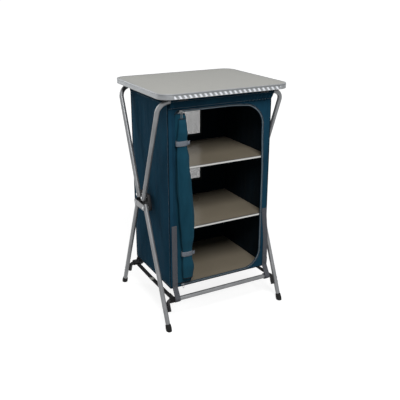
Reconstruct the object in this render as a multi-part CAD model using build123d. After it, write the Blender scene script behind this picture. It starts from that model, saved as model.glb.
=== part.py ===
from build123d import *

import math
import os

# A folding kitchen cupboard for camping, in millimetres and degrees. X runs to the right, Y to the back and Z up.
# The origin is on the floor, under the middle of the cupboard.

# Overall sizes
HEIGHT = 1026.0
TOP_WIDTH = 600.0
TOP_DEPTH = 511.0
TOP_CORNER_RADIUS = 55.0
TOP_EDGE_HEIGHT = 22.0

# Steel tube of the legs, the top bars and the rails
TUBE_RADIUS = 10.0
TUBE_WALL = 1.2
TUBE_BORE = TUBE_RADIUS - TUBE_WALL
BEND_RADIUS = 48.0

# Pins of the four frames at the hubs, as distances from the middle plane, then the top bars, the rails and the feet
UPPER_PIN_Y = 27.0
UPPER_PIN_Z = 543.0
LOWER_PIN_Y = 44.0
LOWER_PIN_Z = 503.0
BAR_INSET = 50.5
BAR_DROP = 4.0
FOOT_SPREAD = 4.5
RAIL_Z = 116.0

# Clearances
RUNNING = 0.05
SEAT = 0.3
PLUG_FIT = 0.1

# How far a cutting shape runs past the face that it cuts
CUT = 1.0

# Hubs
PIN_RADIUS = 3.0
TUBE_TAIL = 13.0
PLUG_HEAD = 2.0
PLUG_DEPTH = 5.0
HUB_THICKNESS = 14.0
HUB_MARGIN = 16.0
HUB_GAP = 18.7
PLATE_THICKNESS = 2.5
PLATE_MARGIN = 13.0
PIN_HEAD_RADIUS = 6.0
PIN_HEAD_HEIGHT = 2.0

# Feet
CAP_RADIUS = 13.0
CAP_LENGTH = 34.0
CAP_SOLE = 9.0

# Elbows that join a rail to the legs
ELBOW_RADIUS = 8.4
ELBOW_BEND = 12.0
ELBOW_DROP = 46.0
SPIGOT_LENGTH = 22.0
RIVET_RADIUS = 2.0
RIVET_HEAD_RADIUS = 4.0
RIVET_HEAD_HEIGHT = 1.2
RIVET_PITCH = 20.0

# Tabletop
EDGE_WIDTH = 20.0
EDGE_LIP = 8.0
EDGE_PROUD = 0.8
EDGE_GROOVE_DEPTH = 2.0
EDGE_GROOVE_HEIGHT = 2.2
EDGE_GROOVE_DROP = 4.0
EDGE_LEDGE = 3.0
SHARPEST_CORNER = 1.0
BOARD_THICKNESS = 10.0
CLEAT_INSET = 100.0
CLEAT_WIDTH = 40.0
CLEAT_JAW = 6.0
CLEAT_REACH = 11.0
CLEAT_INNER = 8.0
SCREW_RADIUS = 2.0
SCREW_HEAD_RADIUS = 3.6
SCREW_HEAD_HEIGHT = 2.0
SCREW_LENGTH = 19.0
SCREW_PITCH = 24.0
SCREW_SINK = 1.0

# Cabinet
CABINET_BOTTOM = 162.0
PANEL_INSET = 15.0
CABINET_TOP_GAP = 12.0
FABRIC = 1.5
THIN_FABRIC = 1.2
SLEEVE_FABRIC = 1.4
SLEEVE_HEM_GAP = 6.0
DOOR_SIDE_MARGIN = 37.0
DOOR_FOOT_MARGIN = 12.0
DOOR_HEAD_MARGIN = 38.0
DOOR_RIGHT_RADIUS = 85.0
DOOR_LEFT_RADIUS = 14.0
WINDOW_WIDTH = 210.0
UPPER_WINDOW_SILL = 31.0
UPPER_WINDOW_HEAD = 89.0
LOWER_WINDOW_SILL = 79.0
LOWER_WINDOW_HEAD = 40.0
WINDOW_CORNER_RADIUS = 6.0
MESH_THICKNESS = 0.8
MESH_COLUMNS = 13
MESH_ROWS = 10
MESH_STRAND = 2.0
MESH_HEM = 10.0

# Shelves
UPPER_SHELF_TOP = 704.0
LOWER_SHELF_TOP = 431.0
SHELF_THICKNESS = 6.0
SHELF_GAP = 0.4
TRIM_DEPTH = 9.0
TRIM_WALL = 1.0

# Zip
CHAIN_WIDTH = 5.0
CHAIN_THICKNESS = 2.4
CHAIN_MARGIN = 1.0
SLIDER_LENGTH = 15.0
SLIDER_LIP = 2.0
SLIDER_FACE = 2.0
SLIDER_INSET = 20.0
EAR_REACH = 6.0
EAR_WIDTH = 2.0
PULLER_WIDTH = 6.0
PULLER_THICKNESS = 2.0
PULLER_PIN_RADIUS = 1.2
UPPER_PULLER_LENGTH = 32.0
LOWER_PULLER_LENGTH = 15.0

# Rolled door: cross-sections as (height, middle, half width, thickness). The middle is measured from the left edge of
# the door opening. Heights are above the opening's foot in the lower half and below its head in the upper half.
ROLL_LOWER_HALF = (
    (32.0, 36.0, 27.0, 24.0),
    (88.0, 37.0, 31.0, 30.0),
    (139.0, 35.0, 25.0, 22.0),
    (163.0, 35.0, 25.0, 22.0),
    (226.0, 34.0, 34.0, 32.0),
    (326.0, 30.0, 39.0, 36.0),
)
ROLL_UPPER_HALF = (
    (300.0, 21.0, 37.0, 35.0),
    (190.0, 16.0, 32.0, 31.0),
    (136.0, 15.0, 25.0, 22.0),
    (112.0, 15.0, 25.0, 22.0),
    (80.0, 19.0, 25.0, 26.0),
    (44.0, 26.0, 15.0, 22.0),
)
ROLL_ROUNDING = 0.46
TIE_HEIGHT = 22.0
TIE_THICKNESS = 1.2

# Webbing
STRAP_WIDTH = 24.0
STRAP_TOP = 456.0
STRAP_THICKNESS = 1.6
STRAP_TURN_RISE = 3.0
STRAP_MEETING_ANGLE = 53.0
SIDE_STRAP_WIDTH = 20.0
BAND_WIDTH = 22.0
BAND_THICKNESS = 1.0

# Worked out from the sizes above
LEG_X = TOP_WIDTH / 2 - TUBE_RADIUS
BAR_Y = TOP_DEPTH / 2 - BAR_INSET
BAR_Z = HEIGHT - TOP_EDGE_HEIGHT - BAR_DROP - TUBE_RADIUS
FOOT_Y = TOP_DEPTH / 2 + FOOT_SPREAD
LOWER_ANGLE = math.degrees(math.atan2(FOOT_Y - LOWER_PIN_Y, LOWER_PIN_Z))
UPPER_ANGLE = math.degrees(math.atan2(BAR_Y - UPPER_PIN_Y, BAR_Z - UPPER_PIN_Z))
LOWER_LENGTH = math.hypot(FOOT_Y - LOWER_PIN_Y, LOWER_PIN_Z)
UPPER_LENGTH = math.hypot(BAR_Y - UPPER_PIN_Y, BAR_Z - UPPER_PIN_Z)
RAIL_DROP = (LOWER_PIN_Z - RAIL_Z) / math.cos(math.radians(LOWER_ANGLE))
RAIL_Y = LOWER_PIN_Y + RAIL_DROP * math.sin(math.radians(LOWER_ANGLE))
ELBOW_X = LEG_X - TUBE_RADIUS - SEAT - ELBOW_RADIUS
RAIL_END = ELBOW_X - ELBOW_BEND - SIDE_STRAP_WIDTH
SIDE_STRAP_X = RAIL_END + SEAT + SIDE_STRAP_WIDTH / 2
HUB_OUTER = LEG_X - TUBE_RADIUS - SEAT
HUB_INNER = HUB_OUTER - HUB_THICKNESS
LEG_OUTER = LEG_X + TUBE_RADIUS + SEAT
PLATE_OUTER = LEG_OUTER + PLATE_THICKNESS
TOP_UNDERSIDE = HEIGHT - TOP_EDGE_HEIGHT
BOARD_TOP = HEIGHT - EDGE_PROUD
BOARD_BOTTOM = BOARD_TOP - BOARD_THICKNESS
HALF_WIDTH = HUB_INNER - PIN_HEAD_HEIGHT - HUB_GAP
HALF_DEPTH = BAR_Y - PANEL_INSET
CABINET_TOP = BAR_Z - CABINET_TOP_GAP
DOOR_HALF_WIDTH = HALF_WIDTH - DOOR_SIDE_MARGIN
DOOR_BOTTOM = CABINET_BOTTOM + DOOR_FOOT_MARGIN
DOOR_TOP = CABINET_TOP - DOOR_HEAD_MARGIN
UPPER_WINDOW = (UPPER_SHELF_TOP + UPPER_WINDOW_SILL, CABINET_TOP - UPPER_WINDOW_HEAD)
LOWER_WINDOW = (LOWER_SHELF_TOP + LOWER_WINDOW_SILL, UPPER_SHELF_TOP - LOWER_WINDOW_HEAD)
SLIDER_X = -DOOR_HALF_WIDTH + SLIDER_INSET
CLEAT_X = LEG_X - CLEAT_INSET
BOTTOM_BOARD_TOP = CABINET_BOTTOM + THIN_FABRIC + SEAT + SHELF_THICKNESS
SLEEVE_RADIUS = TUBE_RADIUS + SEAT + SLEEVE_FABRIC
SLEEVE_END = LEG_X - BEND_RADIUS
CHAIN_BACK = HALF_DEPTH + SEAT
CHAIN_FRONT = CHAIN_BACK + CHAIN_THICKNESS
SLIDER_FRONT = CHAIN_FRONT + SEAT + SLIDER_FACE
CHAIN_TOP_Z = DOOR_TOP + CHAIN_MARGIN + CHAIN_WIDTH / 2
CHAIN_BOTTOM_Z = DOOR_BOTTOM - CHAIN_MARGIN - CHAIN_WIDTH / 2
STRAP_X = DOOR_HALF_WIDTH + CHAIN_MARGIN + CHAIN_WIDTH + SEAT + STRAP_WIDTH / 2

FRONT, REAR = -1, 1
LEFT, RIGHT = -1, 1
SIDES = (LEFT, RIGHT)

os.makedirs("parts", exist_ok=True)


def save(node, *solids):
    """Write one named piece, or a group of like pieces, as its own STEP file."""
    shape = solids[0] if len(solids) == 1 else Compound(children=list(solids))
    export_step(shape, f"parts/{node}.step")


def bar_along_x(radius, length, bore=0.0):
    """A round bar or tube along X, centred on the origin."""
    bar = Cylinder(radius, length)
    if bore:
        bar -= Cylinder(bore, length)
    return Rot(0, 90, 0) * bar


def block(x_range, y_range, z_range):
    """A box between two corners."""
    size = [high - low for low, high in (x_range, y_range, z_range)]
    middle = [(high + low) / 2 for low, high in (x_range, y_range, z_range)]
    return Pos(*middle) * Box(*size)


def profile_along_x(points, x_middle, width):
    """A flat outline of (y, z) points, drawn out along X."""
    face = Plane.YZ.offset(x_middle - width / 2) * make_face(Polyline(*points, close=True))
    return extrude(face, width)


def place_lower(shape, side):
    """Turn a piece drawn along a vertical leg, with the pin at the origin, to where a lower frame stands."""
    return Pos(0, side * LOWER_PIN_Y, LOWER_PIN_Z) * Rot(side * LOWER_ANGLE, 0, 0) * shape


def place_upper(shape, side):
    """Turn a piece drawn along a vertical leg, with the pin at the origin, to where an upper frame stands."""
    return Pos(0, side * UPPER_PIN_Y, UPPER_PIN_Z) * Rot(-side * UPPER_ANGLE, 0, 0) * shape


def floor_trim(shape):
    """Cut a piece flat where it stands on the floor."""
    room = block((-TOP_WIDTH, TOP_WIDTH), (-TOP_DEPTH, TOP_DEPTH), (0, HEIGHT))
    return shape & room


def pin_hole():
    return bar_along_x(PIN_RADIUS + RUNNING, 3 * TUBE_RADIUS)


def rivet_places():
    """Heights of an elbow's rivets, measured down the leg from its pin."""
    first = RAIL_DROP + ELBOW_BEND + ELBOW_RADIUS
    return (first, first + RIVET_PITCH)


def lower_leg(hand):
    """One straight leg tube, from its pin at the origin down to its foot."""
    end = LOWER_LENGTH - CAP_SOLE / math.cos(math.radians(LOWER_ANGLE))
    length = end + TUBE_TAIL
    tube = Pos(hand * LEG_X, 0, TUBE_TAIL - length / 2) * (
        Cylinder(TUBE_RADIUS, length) - Cylinder(TUBE_BORE, length)
    )
    tube -= Pos(hand * LEG_X, 0, 0) * pin_hole()
    for drop in rivet_places():
        tube -= Pos(hand * LEG_X, 0, -drop) * bar_along_x(RIVET_RADIUS + RUNNING, 3 * TUBE_RADIUS)
    return tube


def tube_plug(hand, up):
    """A black end plug, in a tube's open end next to its pin: above it if up is 1, and below it if up is -1."""
    head = Pos(0, 0, PLUG_HEAD / 2) * Cylinder(TUBE_RADIUS, PLUG_HEAD)
    stem = Pos(0, 0, -PLUG_DEPTH / 2) * Cylinder(TUBE_BORE - PLUG_FIT, PLUG_DEPTH)
    plug = Pos(0, 0, TUBE_TAIL) * (head + stem)
    return Pos(hand * LEG_X, 0, 0) * (plug if up > 0 else Rot(180, 0, 0) * plug)


def foot_cap(hand):
    """A cap around the foot of a leg, before its sole is cut level."""
    tube_end = LOWER_LENGTH - CAP_SOLE / math.cos(math.radians(LOWER_ANGLE))
    top = tube_end - CAP_LENGTH
    bottom = LOWER_LENGTH + CAP_RADIUS
    outer = Pos(0, 0, -(top + bottom) / 2) * Cylinder(CAP_RADIUS, bottom - top)
    bore = Pos(0, 0, -(top + tube_end) / 2) * Cylinder(TUBE_RADIUS + PLUG_FIT, CAP_LENGTH)
    return Pos(hand * LEG_X, 0, 0) * (outer - bore)


def rail():
    return Pos(0, 0, -RAIL_DROP) * bar_along_x(TUBE_RADIUS, 2 * RAIL_END, TUBE_BORE)


def elbow(hand):
    """A bent plastic rod: a spigot in the rail's end, an arm, a quarter bend and a shank along the leg."""
    path = FilletPolyline(
        (RAIL_END - SPIGOT_LENGTH, 0, -RAIL_DROP),
        (ELBOW_X, 0, -RAIL_DROP),
        (ELBOW_X, 0, -RAIL_DROP - ELBOW_DROP),
        radius=ELBOW_BEND,
    )
    rod = sweep(Plane(origin=path @ 0, z_dir=path % 0) * Circle(ELBOW_RADIUS), path=path)
    for drop in rivet_places():
        rod -= Pos(ELBOW_X, 0, -drop) * bar_along_x(RIVET_RADIUS + RUNNING, 4 * ELBOW_RADIUS)
    return rod if hand == RIGHT else mirror(rod, Plane.YZ)


def elbow_rivet(hand, drop):
    """A blind rivet through the leg and its elbow, with a round head on the leg's outer side."""
    outer = LEG_OUTER
    inner = ELBOW_X - ELBOW_RADIUS
    shank = Pos((outer + inner) / 2, 0, 0) * bar_along_x(RIVET_RADIUS, outer - inner)
    head = Pos(outer + RIVET_HEAD_HEIGHT / 2, 0, 0) * bar_along_x(RIVET_HEAD_RADIUS, RIVET_HEAD_HEIGHT)
    return Rot(0, 0, 0 if hand == RIGHT else 180) * Pos(0, 0, -drop) * (shank + head)


def loop(radius, x_middle, width):
    """A band of webbing around a rail, drawn in the lower frame's own plane."""
    ring = bar_along_x(radius + SEAT + STRAP_THICKNESS, width, radius + SEAT)
    return Pos(x_middle, 0, -RAIL_DROP) * ring


# Lower frames: two legs, a rail, elbows, rivets, feet and plugs at the front, and the same at the back.
for side, name in ((FRONT, "front"), (REAR, "rear")):
    for hand, hand_name in ((LEFT, "left"), (RIGHT, "right")):
        save(f"{name}_{hand_name}_lower_leg", place_lower(lower_leg(hand), side))
    save(f"{name}_rail", place_lower(rail(), side))
    save(f"{name}_rail_elbows", *[place_lower(elbow(hand), side) for hand in SIDES])
    save(
        f"{name}_elbow_rivets",
        *[place_lower(elbow_rivet(hand, drop), side) for hand in SIDES for drop in rivet_places()],
    )
    save(f"{name}_feet", *[floor_trim(place_lower(foot_cap(hand), side)) for hand in SIDES])
    save(f"{name}_lower_plugs", *[place_lower(tube_plug(hand, 1), side) for hand in SIDES])
    loops = [place_lower(loop(TUBE_RADIUS, hand * STRAP_X, STRAP_WIDTH), side) for hand in SIDES]
    loops += [place_lower(loop(ELBOW_RADIUS, hand * SIDE_STRAP_X, SIDE_STRAP_WIDTH), side) for hand in SIDES]
    save(f"{name}_strap_loops", *loops)


def upper_frame():
    """A U of bent tube: two legs and the top bar between them, with the pins at the origin's height."""
    path = FilletPolyline(
        (-LEG_X, 0, -TUBE_TAIL),
        (-LEG_X, 0, UPPER_LENGTH),
        (LEG_X, 0, UPPER_LENGTH),
        (LEG_X, 0, -TUBE_TAIL),
        radius=BEND_RADIUS,
    )
    start = Plane(origin=path @ 0, z_dir=path % 0)
    tube = sweep(start * (Circle(TUBE_RADIUS) - Circle(TUBE_BORE)), path=path)
    for hand in SIDES:
        tube -= Pos(hand * LEG_X, 0, 0) * pin_hole()
    return tube


# Upper frames, and their end plugs.
for side, name in ((FRONT, "front"), (REAR, "rear")):
    save(f"{name}_upper_frame", place_upper(upper_frame(), side))
    save(f"{name}_upper_plugs", *[place_upper(tube_plug(hand, -1), side) for hand in SIDES])

PIN_PLACES = (
    (-LOWER_PIN_Y, LOWER_PIN_Z),
    (LOWER_PIN_Y, LOWER_PIN_Z),
    (UPPER_PIN_Y, UPPER_PIN_Z),
    (-UPPER_PIN_Y, UPPER_PIN_Z),
)


def hub_block():
    """The right-hand hub block: a rounded plastic slab that holds the four pins."""
    outline = offset(make_face(Polyline(*PIN_PLACES, close=True)), HUB_MARGIN)
    slab = extrude(Plane.YZ.offset(HUB_INNER) * outline, HUB_THICKNESS)
    for y, z in PIN_PLACES:
        slab -= Pos(HUB_INNER, y, z) * bar_along_x(PIN_RADIUS + RUNNING, 4 * HUB_THICKNESS)
    return slab


def hub_plate():
    """The right-hand steel plate over the pins of the two lower legs."""
    outline = Pos(0, LOWER_PIN_Z) * SlotCenterToCenter(2 * LOWER_PIN_Y, 2 * PLATE_MARGIN)
    plate = extrude(Plane.YZ.offset(LEG_OUTER) * outline, PLATE_THICKNESS)
    for y in (-LOWER_PIN_Y, LOWER_PIN_Y):
        plate -= Pos(LEG_OUTER, y, LOWER_PIN_Z) * bar_along_x(PIN_RADIUS + RUNNING, 4 * PLATE_THICKNESS)
    return plate


def hub_pin(y, z):
    """A riveted pin on the right-hand side, from its outer head to its inner head."""
    outer = PLATE_OUTER if z == LOWER_PIN_Z else LEG_OUTER
    shaft = Pos((outer + HUB_INNER) / 2, 0, 0) * bar_along_x(PIN_RADIUS, outer - HUB_INNER)
    outer_head = Pos(outer + PIN_HEAD_HEIGHT / 2, 0, 0) * bar_along_x(PIN_HEAD_RADIUS, PIN_HEAD_HEIGHT)
    inner_head = Pos(HUB_INNER - PIN_HEAD_HEIGHT / 2, 0, 0) * bar_along_x(PIN_HEAD_RADIUS, PIN_HEAD_HEIGHT)
    return Pos(0, y, z) * (shaft + outer_head + inner_head)


# Hubs: a plastic block inside the legs, a steel plate outside them, and a pin for each leg.
for hand, hand_name in ((LEFT, "left"), (RIGHT, "right")):
    turn = Rot(0, 0, 0 if hand == RIGHT else 180)
    save(f"{hand_name}_hub_block", turn * hub_block())
    save(f"{hand_name}_hub_plate", turn * hub_plate())
    save(f"{hand_name}_hub_pins", *[turn * hub_pin(y, z) for y, z in PIN_PLACES])


def top_outline(inset):
    """The tabletop's rounded outline, taken in by inset."""
    radius = max(TOP_CORNER_RADIUS - inset, SHARPEST_CORNER)
    return RectangleRounded(TOP_WIDTH - 2 * inset, TOP_DEPTH - 2 * inset, radius)


def top_layer(outer_inset, inner_inset, low, high):
    """A flat ring that follows the tabletop's outline, between two heights."""
    return extrude(Plane.XY.offset(low) * (top_outline(outer_inset) - top_outline(inner_inset)), high - low)


# Tabletop: a board in a grooved aluminium edge profile.
edge = top_layer(0, EDGE_LIP, TOP_UNDERSIDE, HEIGHT)
edge += top_layer(EDGE_LIP / 2, EDGE_WIDTH, BOARD_BOTTOM - EDGE_LEDGE, BOARD_BOTTOM)
groove_top = HEIGHT - EDGE_GROOVE_DROP
edge -= top_layer(0, EDGE_GROOVE_DEPTH, groove_top - EDGE_GROOVE_HEIGHT, groove_top)
save("tabletop_edge", edge)

CLEAT_OUTER_Y = BAR_Y + SLEEVE_RADIUS + SEAT + CLEAT_JAW
CLEAT_PLACES = [(hand * CLEAT_X, side) for hand in SIDES for side in (FRONT, REAR)]


def cleat(x, side):
    """A block under the board, hollowed to sit on a top bar, with a jaw on the bar's outer side."""
    y_inner, y_outer = side * (BAR_Y - CLEAT_INNER), side * CLEAT_OUTER_Y
    y_range = (min(y_inner, y_outer), max(y_inner, y_outer))
    x_range = (x - CLEAT_WIDTH / 2, x + CLEAT_WIDTH / 2)
    body = block(x_range, y_range, (BAR_Z - CLEAT_REACH, BOARD_BOTTOM))
    bar = Pos(x, side * BAR_Y, BAR_Z) * bar_along_x(SLEEVE_RADIUS + SEAT, 2 * CLEAT_WIDTH)
    y_cut = sorted((side * (BAR_Y - 2 * CLEAT_INNER), side * (BAR_Y + SLEEVE_RADIUS + SEAT)))
    below = block((x - CLEAT_WIDTH, x + CLEAT_WIDTH), y_cut, (BAR_Z - 2 * CLEAT_REACH, BAR_Z))
    return body - bar - below


def screw_places(x, side):
    return [(x + step * SCREW_PITCH / 2, side * BAR_Y) for step in (-1, 1)]


def cleat_screw(x, y, clearance=0.0):
    """A countersunk screw from a cleat's seat up into the board."""
    low = BAR_Z + SLEEVE_RADIUS + SEAT + SCREW_SINK
    head = Pos(x, y, low + SCREW_HEAD_HEIGHT / 2) * Cylinder(SCREW_HEAD_RADIUS + clearance, SCREW_HEAD_HEIGHT)
    shank_length = SCREW_LENGTH - SCREW_HEAD_HEIGHT
    shank_middle = low + SCREW_HEAD_HEIGHT + shank_length / 2
    return head + Pos(x, y, shank_middle) * Cylinder(SCREW_RADIUS + clearance, shank_length)


board = extrude(Plane.XY.offset(BOARD_BOTTOM) * top_outline(EDGE_LIP + PLUG_FIT), BOARD_THICKNESS)
screw_access = Cylinder(SCREW_HEAD_RADIUS + RUNNING, 2 * (SEAT + SCREW_SINK + CUT))
cleats = []
screws = []
for x, side in CLEAT_PLACES:
    body = cleat(x, side)
    for screw_x, screw_y in screw_places(x, side):
        body -= cleat_screw(screw_x, screw_y, RUNNING)
        body -= Pos(screw_x, screw_y, BAR_Z + SLEEVE_RADIUS) * screw_access
        board -= cleat_screw(screw_x, screw_y, RUNNING)
        screws.append(cleat_screw(screw_x, screw_y))
    cleats.append(body)
save("tabletop_board", board)
save("tabletop_cleats", *cleats)
save("cleat_screws", *screws)


def door_outline(growth):
    """The rounded outline of the door opening in (x, z), made larger by growth all round."""
    half = DOOR_HALF_WIDTH + growth
    shape = Pos(0, (DOOR_TOP + DOOR_BOTTOM) / 2) * Rectangle(2 * half, DOOR_TOP - DOOR_BOTTOM + 2 * growth)
    corners = shape.vertices().sort_by(Axis.X)
    shape = fillet(corners[2:], DOOR_RIGHT_RADIUS + growth)
    left = shape.vertices().sort_by(Axis.X)[:2]
    return fillet(left, DOOR_LEFT_RADIUS + growth)


def upright_sheet(outline, y_low, thickness):
    """A flat sheet that faces front and back: an (x, z) outline, drawn out along Y from y_low."""
    return extrude(Plane.XZ.offset(-y_low) * outline, -thickness)


def panel_outline():
    return Pos(0, (CABINET_TOP + CABINET_BOTTOM) / 2) * Rectangle(2 * HALF_WIDTH, CABINET_TOP - CABINET_BOTTOM)


def window_outline(low, high):
    return Pos(0, (low + high) / 2) * RectangleRounded(WINDOW_WIDTH, high - low, WINDOW_CORNER_RADIUS)


def mesh_pane(low, high):
    """A net behind a window: a thin sheet with a grid of holes, and a hem that overlaps the panel."""
    height = high - low
    pitch_x = WINDOW_WIDTH / MESH_COLUMNS
    pitch_z = height / MESH_ROWS
    sheet = Rectangle(WINDOW_WIDTH + 2 * MESH_HEM, height + 2 * MESH_HEM)
    holes = GridLocations(pitch_x, pitch_z, MESH_COLUMNS, MESH_ROWS) * Rectangle(
        pitch_x - MESH_STRAND, pitch_z - MESH_STRAND
    )
    net = Pos(0, (low + high) / 2) * (sheet - holes)
    return upright_sheet(net, HALF_DEPTH - FABRIC - MESH_THICKNESS, MESH_THICKNESS)


# Cabinet: panels of fabric sewn along their edges.
side_y = (-HALF_DEPTH + FABRIC, HALF_DEPTH - FABRIC)
height_range = (CABINET_BOTTOM, CABINET_TOP)
save("left_side_panel", block((-HALF_WIDTH, -HALF_WIDTH + FABRIC), side_y, height_range))
save("right_side_panel", block((HALF_WIDTH - FABRIC, HALF_WIDTH), side_y, height_range))
save("front_panel", upright_sheet(panel_outline() - door_outline(0), -HALF_DEPTH, FABRIC))
WINDOWS = (LOWER_WINDOW, UPPER_WINDOW)
back = panel_outline()
for low, high in WINDOWS:
    back -= window_outline(low, high)
save("back_panel", upright_sheet(back, HALF_DEPTH - FABRIC, FABRIC))
save("mesh_windows", *[mesh_pane(low, high) for low, high in WINDOWS])
inner_x = (-HALF_WIDTH + FABRIC, HALF_WIDTH - FABRIC)
save("cabinet_floor", block(inner_x, side_y, (CABINET_BOTTOM, CABINET_BOTTOM + THIN_FABRIC)))
save("cabinet_roof", block(inner_x, side_y, (CABINET_TOP - THIN_FABRIC, CABINET_TOP)))


def shelf_sling(top):
    """A sheet of fabric under a shelf. Its back edge stops short of the mesh panes."""
    high = top - SHELF_THICKNESS - SEAT
    back_y = side_y[1] - MESH_THICKNESS - SEAT
    return block(inner_x, (side_y[0], back_y), (high - THIN_FABRIC, high))


save("upper_shelf_sling", shelf_sling(UPPER_SHELF_TOP))
save("lower_shelf_sling", shelf_sling(LOWER_SHELF_TOP))


def bar_sleeve(side):
    """Fabric sewn around a top bar, with a skirt that hangs down over the cabinet's panel."""
    outer = SLEEVE_RADIUS
    hem = Vector(-(HALF_DEPTH + SEAT), CHAIN_TOP_Z + CHAIN_WIDTH / 2 + SLIDER_LIP + SLEEVE_HEM_GAP)
    centre = Vector(-BAR_Y, BAR_Z)
    to_hem = hem - centre
    spread = math.acos(outer / to_hem.length)
    heading = math.atan2(to_hem.Y, to_hem.X) - spread
    touch = centre + Vector(math.cos(heading), math.sin(heading)) * outer
    inward = (centre - touch).normalized() * SLEEVE_FABRIC
    skirt = make_face(Polyline(touch, hem, hem + inward, touch + inward, close=True))
    ring = Pos(-BAR_Y, BAR_Z) * (Circle(outer) - Circle(outer - SLEEVE_FABRIC))
    sleeve = extrude(Plane.YZ.offset(-SLEEVE_END) * (ring + skirt), 2 * SLEEVE_END)
    sleeve -= block((-TOP_WIDTH, TOP_WIDTH), (-HALF_DEPTH - SEAT, HALF_DEPTH), (CABINET_BOTTOM, HEIGHT))
    return sleeve if side == FRONT else mirror(sleeve, Plane.XZ)


save("front_bar_sleeve", bar_sleeve(FRONT))
save("rear_bar_sleeve", bar_sleeve(REAR))


# Shelves: stiff boards with a pale trim along the front edge.
def shelf_board(top):
    """A board whose front edge is taken in for its trim."""
    half_x = HALF_WIDTH - FABRIC - SHELF_GAP
    front_y = side_y[0] + SHELF_GAP + TRIM_WALL + RUNNING
    back_y = side_y[1] - MESH_THICKNESS - SHELF_GAP
    return block((-half_x, half_x), (front_y, back_y), (top - SHELF_THICKNESS, top))


def shelf_trim(top):
    """A channel over a board's front edge, a little taller than the board at its top."""
    half_x = HALF_WIDTH - FABRIC - SHELF_GAP
    front_y = side_y[0] + SHELF_GAP
    low = top - SHELF_THICKNESS
    face = block((-half_x, half_x), (front_y, front_y + TRIM_WALL), (low, top + TRIM_WALL + RUNNING))
    lip = block((-half_x, half_x), (front_y, front_y + TRIM_DEPTH), (top + RUNNING, top + RUNNING + TRIM_WALL))
    return face + lip


for name, top in (
    ("upper_shelf", UPPER_SHELF_TOP),
    ("lower_shelf", LOWER_SHELF_TOP),
    ("bottom_board", BOTTOM_BOARD_TOP),
):
    save(name, shelf_board(top))
    save(f"{name}_trim", shelf_trim(top))


# Door: its zip chain, two sliders with their pullers, and the rolled-up flap with two ties.
chain = door_outline(CHAIN_MARGIN + CHAIN_WIDTH) - door_outline(CHAIN_MARGIN)
save("door_zip_chain", upright_sheet(chain, -CHAIN_FRONT, CHAIN_THICKNESS))

PULLER_PIN_Y = SLIDER_FRONT + EAR_REACH - PULLER_PIN_RADIUS * 2


def zip_slider(chain_z):
    """A slider over the chain: a face, two lips beside the chain, and two ears that carry the puller's pin."""
    x_range = (SLIDER_X - SLIDER_LENGTH / 2, SLIDER_X + SLIDER_LENGTH / 2)
    half = CHAIN_WIDTH / 2 + SEAT + SLIDER_LIP
    body = block(x_range, (-SLIDER_FRONT, -CHAIN_BACK), (chain_z - half, chain_z + half))
    gap = CHAIN_WIDTH / 2 + SEAT
    channel_x = (x_range[0] - CUT, x_range[1] + CUT)
    body -= block(channel_x, (-CHAIN_FRONT - SEAT, -CHAIN_BACK + CUT), (chain_z - gap, chain_z + gap))
    for hand in SIDES:
        inner = PULLER_WIDTH / 2 + SEAT
        ear_x = sorted((SLIDER_X + hand * inner, SLIDER_X + hand * (inner + EAR_WIDTH)))
        reach = (-SLIDER_FRONT - EAR_REACH, -SLIDER_FRONT)
        body += block(ear_x, reach, (chain_z - EAR_REACH / 2, chain_z + EAR_REACH / 2))
    pin = bar_along_x(PULLER_PIN_RADIUS, PULLER_WIDTH + 2 * SEAT + EAR_WIDTH)
    return body + Pos(SLIDER_X, -PULLER_PIN_Y, chain_z) * pin


def zip_puller(chain_z, length):
    """A flat tab that hangs from the slider's pin."""
    eye = bar_along_x(PULLER_PIN_RADIUS + PULLER_THICKNESS / 2, PULLER_WIDTH)
    tab = Pos(0, 0, -length / 2) * Box(PULLER_WIDTH, PULLER_THICKNESS, length)
    puller = eye + tab - bar_along_x(PULLER_PIN_RADIUS + RUNNING, 2 * PULLER_WIDTH)
    return Pos(SLIDER_X, -PULLER_PIN_Y, chain_z) * puller


save("upper_zip_slider", zip_slider(CHAIN_TOP_Z))
save("upper_zip_puller", zip_puller(CHAIN_TOP_Z, UPPER_PULLER_LENGTH))
save("lower_zip_slider", zip_slider(CHAIN_BOTTOM_Z))
save("lower_zip_puller", zip_puller(CHAIN_BOTTOM_Z, LOWER_PULLER_LENGTH))

ROLL_BACK = CHAIN_FRONT + SEAT + TIE_THICKNESS + SEAT
ROLL_SECTIONS = [(DOOR_BOTTOM + height, *rest) for height, *rest in ROLL_LOWER_HALF]
ROLL_SECTIONS += [(DOOR_TOP - height, *rest) for height, *rest in ROLL_UPPER_HALF]


def roll_outline(half_width, thickness, growth):
    size = (2 * (half_width + growth), thickness + 2 * growth)
    return RectangleRounded(*size, ROLL_ROUNDING * thickness + growth)


def roll_plane(z, middle, thickness):
    """The plane of a cross-section of the roll, with room for a tie between its back and the zip chain."""
    return Plane.XY.offset(z) * Pos(-DOOR_HALF_WIDTH + middle, -ROLL_BACK - thickness / 2)


def roll_section(z, middle, half_width, thickness):
    return roll_plane(z, middle, thickness) * roll_outline(half_width, thickness, 0)


def door_tie(z, middle, half_width, thickness):
    """A band around the roll, with its middle at height z."""
    inner = roll_outline(half_width, thickness, SEAT)
    outer = roll_outline(half_width, thickness, SEAT + TIE_THICKNESS)
    return extrude(roll_plane(z - TIE_HEIGHT / 2, middle, thickness) * (outer - inner), TIE_HEIGHT)


save("rolled_door", loft([roll_section(*section) for section in ROLL_SECTIONS], ruled=True))
ties = []
for lower, upper in zip(ROLL_SECTIONS, ROLL_SECTIONS[1:]):
    if lower[1:] == upper[1:]:
        ties.append(door_tie((lower[0] + upper[0]) / 2, *lower[1:]))
save("door_ties", *ties)


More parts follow.
